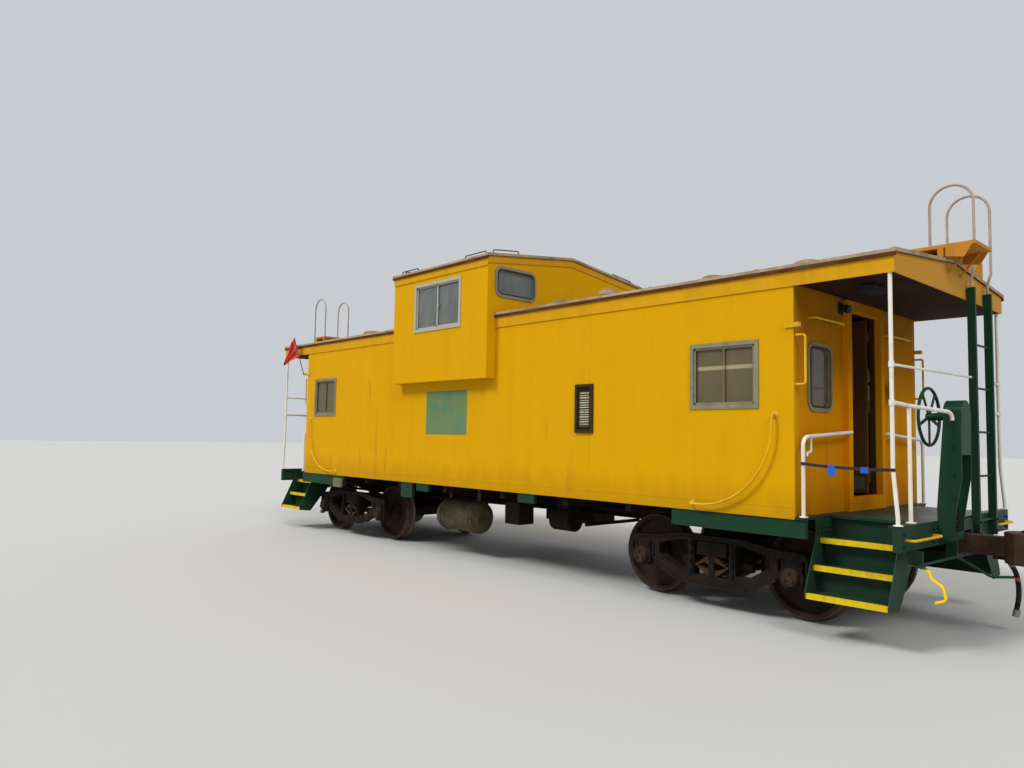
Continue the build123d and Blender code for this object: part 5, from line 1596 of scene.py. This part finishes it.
@dataclass
class EndFittings:
    """What is fastened to the end walls, posts, stands and steps, written for the front end."""

    deck: float = up(1.010)
    feet: tuple[Point, ...] = (
        (5.438, -1.395, 0.038), (5.438, 1.395, 0.038), (5.405, -1.040, 0.042),
        (4.6443, -1.395, 0.038), (4.6443, 1.395, 0.038),
    )
    clamp_x: float = 5.405
    post_y: float = 1.395
    clamps: Pair = (up(2.005), up(2.320))
    hook: Pair = (4.6443, -1.245)
    plate_low: Point = (4.627, 0.515, up(2.135))
    plate_high: Point = (4.631, 0.640, up(2.330))
    irons: tuple[Pair, Pair] = ((4.385, up(1.916)), (3.503, up(1.050)))
    stand: Pair = (5.60, -0.600)
    stand_z: tuple[float, ...] = (1.02, 1.22, 1.42, 1.66, 1.90)
    ladder: Pair = (5.530, 0.95)
    ladder_y: Pair = (0.31, 0.80)
    sill: Pair = (5.460, 0.94)
    sill_y: tuple[float, ...] = (-1.34, -0.70, 0.30, 0.88, 1.34)
    step_x: float = 4.668
    step_y: Pair = (1.185, 0.955)
    step_z: Pair = (0.872, 0.915)
    chain: Pair = (5.58, -0.475)
    chain_z: Pair = (up(1.575), up(0.98))
    chain_step: float = 0.033
    link: Pair = (0.014, 0.0045)
    bolt: Pair = (0.013, 0.018)

    def white(self, mould: Mould) -> None:
        """Round feet under the posts, clamps where the rails end and the handrail's hook.

        Args:
            mould: the mesh that takes them.
        """
        for x, y, radius in self.feet:
            profile = [(0.0, 0.0), (radius, 0.0), (radius, 0.006), (0.026, 0.010), (0.0, 0.010)]
            mould.lathe(profile, Matrix.Translation((x, y * 0.998, self.deck)))
        x = self.clamp_x
        for y in (-self.post_y, self.post_y):
            for z in self.clamps:
                mould.rod((x, y, z - 0.024), (x, y, z + 0.024), 0.0235)
        x, y = self.hook
        for y0, z0, y1, z1 in ((y, 1.715, y, 1.585), (y, 1.588, y - 0.07, 1.575),
                               (y - 0.07, 1.575, y - 0.075, 1.545)):
            mould.rod((x, y0, up(z0)), (x, y1, up(z1)), 0.009)

    def iron_feet(self, mould: Mould) -> None:
        """The round feet of the curved hand irons.

        Args:
            mould: the mesh that takes them.
        """
        profile = [(0.0, 0.0), (0.034, 0.0), (0.034, 0.006), (0.018, 0.012), (0.0, 0.012)]
        for x, z in self.irons:
            for y in (-BODY_SIDE, BODY_SIDE):
                mould.lathe(profile, outward(x, y, z))

    def bolts(self) -> list[Spot]:
        """Bolt heads of the stand, the ladder's feet, the sill and the steps' sides.

        Returns:
            The spots.
        """
        spots = [((*self.stand, up(z)), RIGHT) for z in self.stand_z]
        for (x, top), places in ((self.ladder, self.ladder_y), (self.sill, self.sill_y)):
            for y in places:
                spots += row((x, y, up(0.84)), (x, y, up(top)), 2, FORWARD)
        for side in (-1, 1):
            for z in self.step_z:
                start, end = ((self.step_x, side * y, up(z)) for y in self.step_y)
                spots += row(start, end, 4, FORWARD)
        return spots

    def chains(self) -> None:
        """The brake chain that hangs in each stand's slot."""
        turn = End.REAR.turn()
        for number, way in enumerate((FORWARD, (0.0, 1.0, 0.0))):
            top, foot = ((*self.chain, z - self.chain_step * number) for z in self.chain_z)
            spots = row(top, foot, 10, way)
            links(number).piece(spots + turned_spots(spots, turn), self.link,
                                f"brake_chain_{number + 1}", Finish.UNDER, Body.CAR, "truck_cast")

    def build(self) -> None:
        """The fittings of both ends."""
        white, curved, plate = Mould(), Mould(), Mould()
        self.white(white)
        self.iron_feet(curved)
        plate.slab(self.plate_low, self.plate_high, 0.002)
        self.chains()
        turn, spots = End.REAR.turn(), self.bolts()
        for mould, name, finish, slot in ((white, "post_feet", Finish.WHITE, "rail_white"),
                                          (curved, "hand_iron_feet", Finish.GRABS, "body_yellow"),
                                          (plate, "blank_plates", Finish.TRIM, "rod_brown")):
            mould.doubled(turn)
            mould.piece(name, finish, Body.CAR, slot)
        bolts().piece(spots + turned_spots(spots, turn), self.bolt, "platform_bolts", Finish.GREEN,
                      Body.CAR, "platform_green")


@dataclass
class GateStrap:
    """The dark webbing across the front right steps, with two blue tabs."""

    start: Point = (4.6443, -1.416, up(1.482))
    end: Point = (5.405, -1.416, up(1.458))
    post_y: float = -1.395
    sag: float = 0.012
    half: float = 0.013
    turns: Pair = (0.0178, 0.0215)
    tabs: tuple[Pair, Pair] = ((0.35, 0.075), (0.715, 0.035))
    steps: int = 24

    def point(self, share: float) -> Vector:
        """A point along the strap's middle line."""
        spot = Vector(self.start).lerp(Vector(self.end), share)
        return spot - Vector((0, 0, 4 * self.sag * share * (1 - share)))

    def build(self) -> None:
        """The ribbon, with a turn round each post, and its tabs."""
        strap, tabs, rise = Mould(), Mould(), Vector((0, 0, self.half))
        for a, b in pairwise(self.point(number / self.steps) for number in range(self.steps + 1)):
            strap.plate([a - rise, b - rise, b + rise, a + rise], (0, -0.0025, 0))
        (inner, outer), half = self.turns, self.half
        profile = [(inner, -half), (outer, -half), (outer, half), (inner, half), (inner, -half)]
        for x, _, z in (self.start, self.end):
            strap.lathe(profile, Matrix.Translation((x, self.post_y, z)), 24)
        strap.piece("gate_strap", Finish.STRAP, Body.CAR, "hose_rubber")
        for share, drop in self.tabs:
            x, y, z = self.point(share)
            top = z + half + 0.004
            tabs.slab((x - 0.035, y - 0.006, z - drop), (x + 0.03, y + 0.004, top), 0.002)
        tabs.piece("strap_tabs", Finish.TAB, Body.CAR, "flag_red")


@dataclass
class TruckIron:
    """What shows on the trucks: cast rims, column guides, jaw pads and bolts."""

    face: float = 1.090
    lug_face: float = 1.0951
    cap_face: float = 1.150
    chords: tuple[tuple[Pair, ...], ...] = (
        ((0.94, 0.640), (0.690, 0.655), (0.360, 0.705),
         (-0.360, 0.705), (-0.690, 0.655), (-0.94, 0.640)),
        ((0.700, 0.378), (0.380, 0.225), (0.0, 0.215), (-0.380, 0.225), (-0.700, 0.378)),
    )
    rim: float = 0.024
    guide: float = 0.2375
    jaw: float = AXLE_HALF - 0.146
    cap_radius: float = 0.046
    frame_bolt: Pair = (0.016, 0.02)
    cap_bolt: Pair = (0.015, 0.026)

    def rims(self, mould: Mould) -> None:
        """The raised rims on the frame's face along its chords, in straight runs.

        Args:
            mould: the mesh that takes them.
        """
        for chord in self.chords:
            for (xa, za), (xb, zb) in pairwise(chord):
                along = Vector((xb - xa, zb - za)).normalized()
                dx, dz = -self.rim * along.y, self.rim * along.x
                outline = ((xa, za), (xb, zb), (xb + dx, zb + dz), (xa + dx, za + dz))
                mould.plate([(x, -self.face, up(z)) for x, z in outline], (0, -0.012, 0))

    def frame_iron(self, mould: Mould) -> None:
        """The right side's iron about the truck's middle.

        Args:
            mould: the mesh that takes it.
        """
        self.rims(mould)
        y = -self.face
        for side in (-1, 1):
            for x, half, proud, foot, top, bevel in (
                    (side * self.guide, 0.022, 0.014, 0.30, 0.66, 0.004),
                    (side * self.jaw, 0.014, 0.012, 0.42, 0.56, 0.003)):
                mould.slab((x - half, y - proud, up(foot)), (x + half, y, up(top)), bevel)
        mould.slab((-0.035, y - 0.002, up(0.305)), (0.035, y + 0.07, up(0.503)), 0.003)

    def bolts(self) -> list[Spot]:
        """Bolt heads on the right side frame: four on each guide, two on each axle's lug.

        Returns:
            The spots.
        """
        spots: list[Spot] = []
        for side in (-1, 1):
            x, y, axle = side * self.guide, -self.face - 0.014, side * AXLE_HALF
            spots += row((x, y, up(0.34)), (x, y, up(0.62)), 4, RIGHT)
            y, z = -self.lug_face, up(0.545)
            spots += row((axle - 0.08, y, z), (axle + 0.08, y, z), 2, RIGHT)
        return spots

    def caps(self, x: float, number: int) -> None:
        """Three bolts and a boss on the cap at each end of one axle.

        Args:
            x: where the axle lies.
            number: its number.
        """
        caps, z = Mould(), up(WHEEL_RADIUS)
        spots: list[Spot] = []
        for side in (-1, 1):
            for third in range(3):
                angle = math.pi / 2 + 2 * math.pi * third / 3
                across, rise = self.cap_radius * math.cos(angle), self.cap_radius * math.sin(angle)
                spots.append(((x + across, side * self.cap_face, z + rise), (0, side, 0)))
        caps.add(bolts().set_on(spots, *self.cap_bolt, Finish.RUST))
        for side in (-1, 1):
            profile = [(0.0, 0.0), (0.030, 0.0), (0.026, 0.006), (0.0, 0.006)]
            caps.lathe(profile, outward(x, side * self.cap_face, z))
        caps.piece(f"axle_cap_bolts_{number}", Finish.RUST, f"wheelset_{number}", "wheel_steel")

    def build(self) -> None:
        """Both trucks' iron and all four axles' caps."""
        for end, body in ((1, Body.TRUCK_FRONT), (-1, Body.TRUCK_REAR)):
            there, mould, spots = Matrix.Translation((end * TRUCK_X, 0, 0)), Mould(), self.bolts()
            self.frame_iron(mould)
            mould.doubled(MIRROR_Y)
            mould.moved(there)
            mould.piece(f"{body}_iron", Finish.TRUCK, body, "truck_cast")
            spots = turned_spots(spots + turned_spots(spots, MIRROR_Y), there)
            bolts().piece(spots, self.frame_bolt, f"{body}_bolts", Finish.TRUCK, body, "truck_cast")
        for number, (end, side) in enumerate(((1, 1), (1, -1), (-1, 1), (-1, -1)), 1):
            self.caps(end * TRUCK_X + side * AXLE_HALF, number)


@dataclass
class AirHose:
    """The hose at one end, as it hangs from its angle cock to its coupling head."""

    end: End
    route: tuple[Point, ...] = (
        (5.752, 0.330, up(0.604)), (5.797, 0.330, up(0.534)), (5.815, 0.333, up(0.445)),
        (5.819, 0.336, up(0.350)), (5.812, 0.338, up(0.262)), (5.796, 0.339, up(0.185)),
    )
    radius: float = 0.022
    clamps: Pair = (0.012, 0.034)

    def build(self) -> None:
        """The hose as a curve of its own length, with two clamps at its upper end."""
        points = [self.end.turn() @ Vector(point) for point in self.route]
        name = "air_hose_" + self.end.label()
        data = bpy.data.curves.new(name, "CURVE")
        data.dimensions = "3D"
        data.bevel_depth, data.bevel_resolution, data.use_fill_caps = self.radius, 6, True
        line = data.splines.new("NURBS")
        line.points.add(len(points) - 1)
        for spot, point in zip(line.points, points):
            spot.co = (*point, 1.0)
        line.order_u = 3
        line.use_endpoint_u = True
        data.materials.append(Finish.HOSE.made())
        hose = bpy.data.objects.new(name, data)
        bpy.context.scene.collection.objects.link(hose)
        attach(hose, Body.CAR)
        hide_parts("air_hoses")
        log.info("%s: %d points on %s", name, len(points), Body.CAR)
        self.piece = hose
        start, way = points[0], (points[1] - points[0]).normalized()
        clamp = Mould()
        for along in self.clamps:
            clamp.rod(start + way * along, start + way * (along + 0.012), self.radius + 0.0035, 24)
        clamp.piece("hose_clamps_" + self.end.label(), Finish.BRIGHT, Body.CAR, "hose_rubber")

    def length(self) -> float:
        """The length of the line that the hose follows.

        Returns:
            The length in metres.
        """
        bare = self.piece.data.copy()
        bare.bevel_depth = 0.0
        holder = bpy.data.objects.new("measure", bare)
        spots = [vert.co for vert in bpy.data.meshes.new_from_object(holder).vertices]
        bpy.data.objects.remove(holder)
        return sum((b - a).length for a, b in pairwise(spots))


@dataclass
class RedFlag:
    """The plain red flag, hanging from its staff in soft folds."""

    staff_foot: Point = (-4.622, -1.4618, up(2.700))
    staff_top: Point = (-4.880, -1.550, up(3.390))
    tip: Point = (-5.265, -1.540, up(2.905))
    hoist: float = 0.37
    steps: int = 30

    def fold(self, u: float, v: float) -> float:
        """How far the cloth stands off its plane.

        Args:
            u: share of the way from the staff to the tip.
            v: share of the way down the staff.

        Returns:
            The distance in metres.
        """
        free = min(1.0, u * 5)
        deep = 0.020 * math.sin(v * 13.0 + 1.2) * (0.35 + (1 - u) ** 0.7)
        return free * (deep + 0.010 * math.sin(u * 9.0 + v * 4.0))

    def build(self) -> None:
        """The cloth: a sheet gathered towards its low corner."""
        foot, top, tip = Vector(self.staff_foot), Vector(self.staff_top), Vector(self.tip)
        down = (foot - top).normalized()
        start = top + down * 0.014
        low = start + down * self.hoist
        normal = (tip - start).normalized().cross(down).normalized()
        shares = [number / self.steps for number in range(self.steps + 1)]
        mesh = bmesh.new()
        grid = []
        for u in shares:
            near, far = start.lerp(tip, u), low.lerp(tip, u)
            grid.append([mesh.verts.new(near.lerp(far, v) + normal * self.fold(u, v))
                         for v in shares])
        for line, after in pairwise(grid):
            for (a, b), (c, d) in zip(pairwise(line), pairwise(after)):
                mesh.faces.new((a, c, d, b))
        bmesh.ops.remove_doubles(mesh, verts=mesh.verts, dist=0.0008)
        bmesh.ops.recalc_face_normals(mesh, faces=mesh.faces)
        self.area = sum(face.calc_area() for face in mesh.faces)
        for face in mesh.faces:
            face.smooth = True
        data = bpy.data.meshes.new("red_flag")
        mesh.to_mesh(data)
        mesh.free()
        self.piece = placed(data, "red_flag", Finish.FLAG, Body.CAR)
        thick = self.piece.modifiers.new("thickness", "SOLIDIFY")
        thick.thickness, thick.offset = 0.0016, 0.0
        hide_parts("flag")
        log.info("flag cloth covers %.3f square metres", self.area)


@dataclass
class CouplerIron:
    """The knuckle pin's head, the lock lifter's pad and its stud, on each coupler."""

    pin: Point = (6.036, -0.146, up(0.927))
    pin_profile: tuple[Pair, ...] = ((0.0, 0.0), (0.034, 0.0), (0.034, 0.010), (0.026, 0.018),
                                     (0.0, 0.020))
    stud: Point = (5.97, 0.10, up(0.915))
    stud_profile: tuple[Pair, ...] = ((0.0, 0.0), (0.02, 0.0), (0.02, 0.03), (0.0, 0.03))
    pad: tuple[Point, Point] = ((5.94, -0.05, up(0.915)), (6.00, 0.05, up(0.935)))

    def build(self) -> None:
        """The small iron on both couplers."""
        for end, body in ((End.FRONT, Body.COUPLER_FRONT), (End.REAR, Body.COUPLER_REAR)):
            mould = Mould()
            mould.lathe(self.pin_profile, Matrix.Translation(self.pin))
            mould.slab(*self.pad, 0.006)
            mould.lathe(self.stud_profile, Matrix.Translation(self.stud), 16)
            mould.moved(end.turn())
            mould.piece("coupler_iron_" + end.label(), Finish.RUST, body, "coupler_rust")


# Light and camera


@dataclass
class Studio:
    """A pale floor and backdrop, soft light and the camera."""

    eye: Point = (7.928, -7.879, up(1.664))
    yaw: float = 47.68
    pitch: float = 3.99
    roll: float = 1.06
    lens: float = 26.94
    sensor: float = 36.0
    backdrop: Rgb = (0.58, 0.60, 0.63)
    sky: Rgb = (0.90, 0.92, 0.96)
    sky_light: float = 0.5
    floor_colour: Rgb = (0.50, 0.50, 0.48)
    reach: float = 120.0
    farthest: float = 400.0
    suns: tuple[tuple[str, float, float, Point], ...] = (
        ("sun", 2.15, 18.0, (0.35, 0.85, -0.95)),
        ("fill", 1.3, 25.0, (-0.8, 0.35, -0.85)),
        ("back", 0.6, 60.0, (0.4, -0.9, -0.5)),
    )

    def camera(self) -> None:
        """Sets the camera where the photograph was taken."""
        yaw, pitch, roll = (math.radians(angle) for angle in (self.yaw, self.pitch, self.roll))
        flat = math.cos(pitch)
        ahead = Vector((-math.sin(yaw) * flat, math.cos(yaw) * flat, math.sin(pitch)))
        right = Vector((math.cos(yaw), math.sin(yaw), 0))
        above = right.cross(ahead)
        leaned = right * math.cos(roll) + above * math.sin(roll)
        above = above * math.cos(roll) - right * math.sin(roll)
        data = bpy.data.cameras.new("camera")
        data.lens, data.sensor_width, data.sensor_fit = self.lens, self.sensor, "HORIZONTAL"
        data.clip_end = self.farthest
        camera = bpy.data.objects.new("camera", data)
        turn = Matrix((leaned, above, -ahead)).transposed().to_4x4()
        camera.matrix_world = Matrix.Translation(self.eye) @ turn
        bpy.context.scene.collection.objects.link(camera)
        bpy.context.scene.camera = camera

    def lights(self) -> None:
        """A broad sun from the right side, two softer ones, and a wide sky."""
        for name, strength, angle, way in self.suns:
            data = bpy.data.lights.new(name, "SUN")
            data.energy, data.angle = strength, math.radians(angle)
            lamp = bpy.data.objects.new(name, data)
            lamp.rotation_euler = Vector(way).to_track_quat("-Z", "Y").to_euler()
            bpy.context.scene.collection.objects.link(lamp)
        world = bpy.data.worlds.new("sky")
        bpy.context.scene.world = world
        world.use_nodes = True
        work = Tree(world.node_tree)
        work.tree.nodes.clear()
        path = work.raw("ShaderNodeLightPath", {})
        camera, glossy, through = (Value(work, path.outputs[f"Is {kind} Ray"])
                                   for kind in ("Camera", "Glossy", "Transmission"))
        seen = camera.most(glossy).most(through)
        sky = work.node("ShaderNodeBackground", {}, [self.sky, self.sky_light])
        shown = work.node("ShaderNodeBackground", {}, [self.backdrop, 1.0])
        both = work.node("ShaderNodeMixShader", {}, [seen, sky, shown])
        work.raw("ShaderNodeOutputWorld", {}, [both])

    def floor(self) -> None:
        """The floor that the wheels stand on."""
        data = bpy.data.meshes.new("studio_floor")
        signs = ((-1, -1), (1, -1), (1, 1), (-1, 1))
        points = [(x * self.reach, y * self.reach, 0) for x, y in signs]
        data.from_pydata(points, [], [(0, 1, 2, 3)])
        work = Paintwork("studio_floor", self.floor_colour)
        work.roughness = 0.9
        data.materials.append(work.finish())
        floor = bpy.data.objects.new("studio_floor", data)
        bpy.context.scene.collection.objects.link(floor)
        floor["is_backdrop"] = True

    def build(self) -> None:
        """Sets up the whole studio."""
        self.camera()
        self.lights()
        self.floor()
        bpy.context.scene.view_settings.view_transform = "Standard"


def corners() -> list[list[float]]:
    """The lowest and highest corners of all that is shown."""
    return [list(corner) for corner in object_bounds()]


def main() -> None:
    """Builds the looks in order."""
    logging.basicConfig(level=logging.INFO, format="%(message)s")
    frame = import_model()
    Ironwork().dress(frame["nodes"])
    for work in (SidePanel(), Glazier(), Gaskets(), Lamps(), RoofTrim(), DoorIron(), EndFittings(),
                 GateStrap(), TruckIron(), CouplerIron()):
        work.build()
    flag = RedFlag()
    flag.build()
    for end in End:
        hose = AirHose(end)
        hose.build()
        end.turn() @ Vector(hose.route[0])
        hose.length()
    Studio().build()


if __name__ == "__main__":
    main()
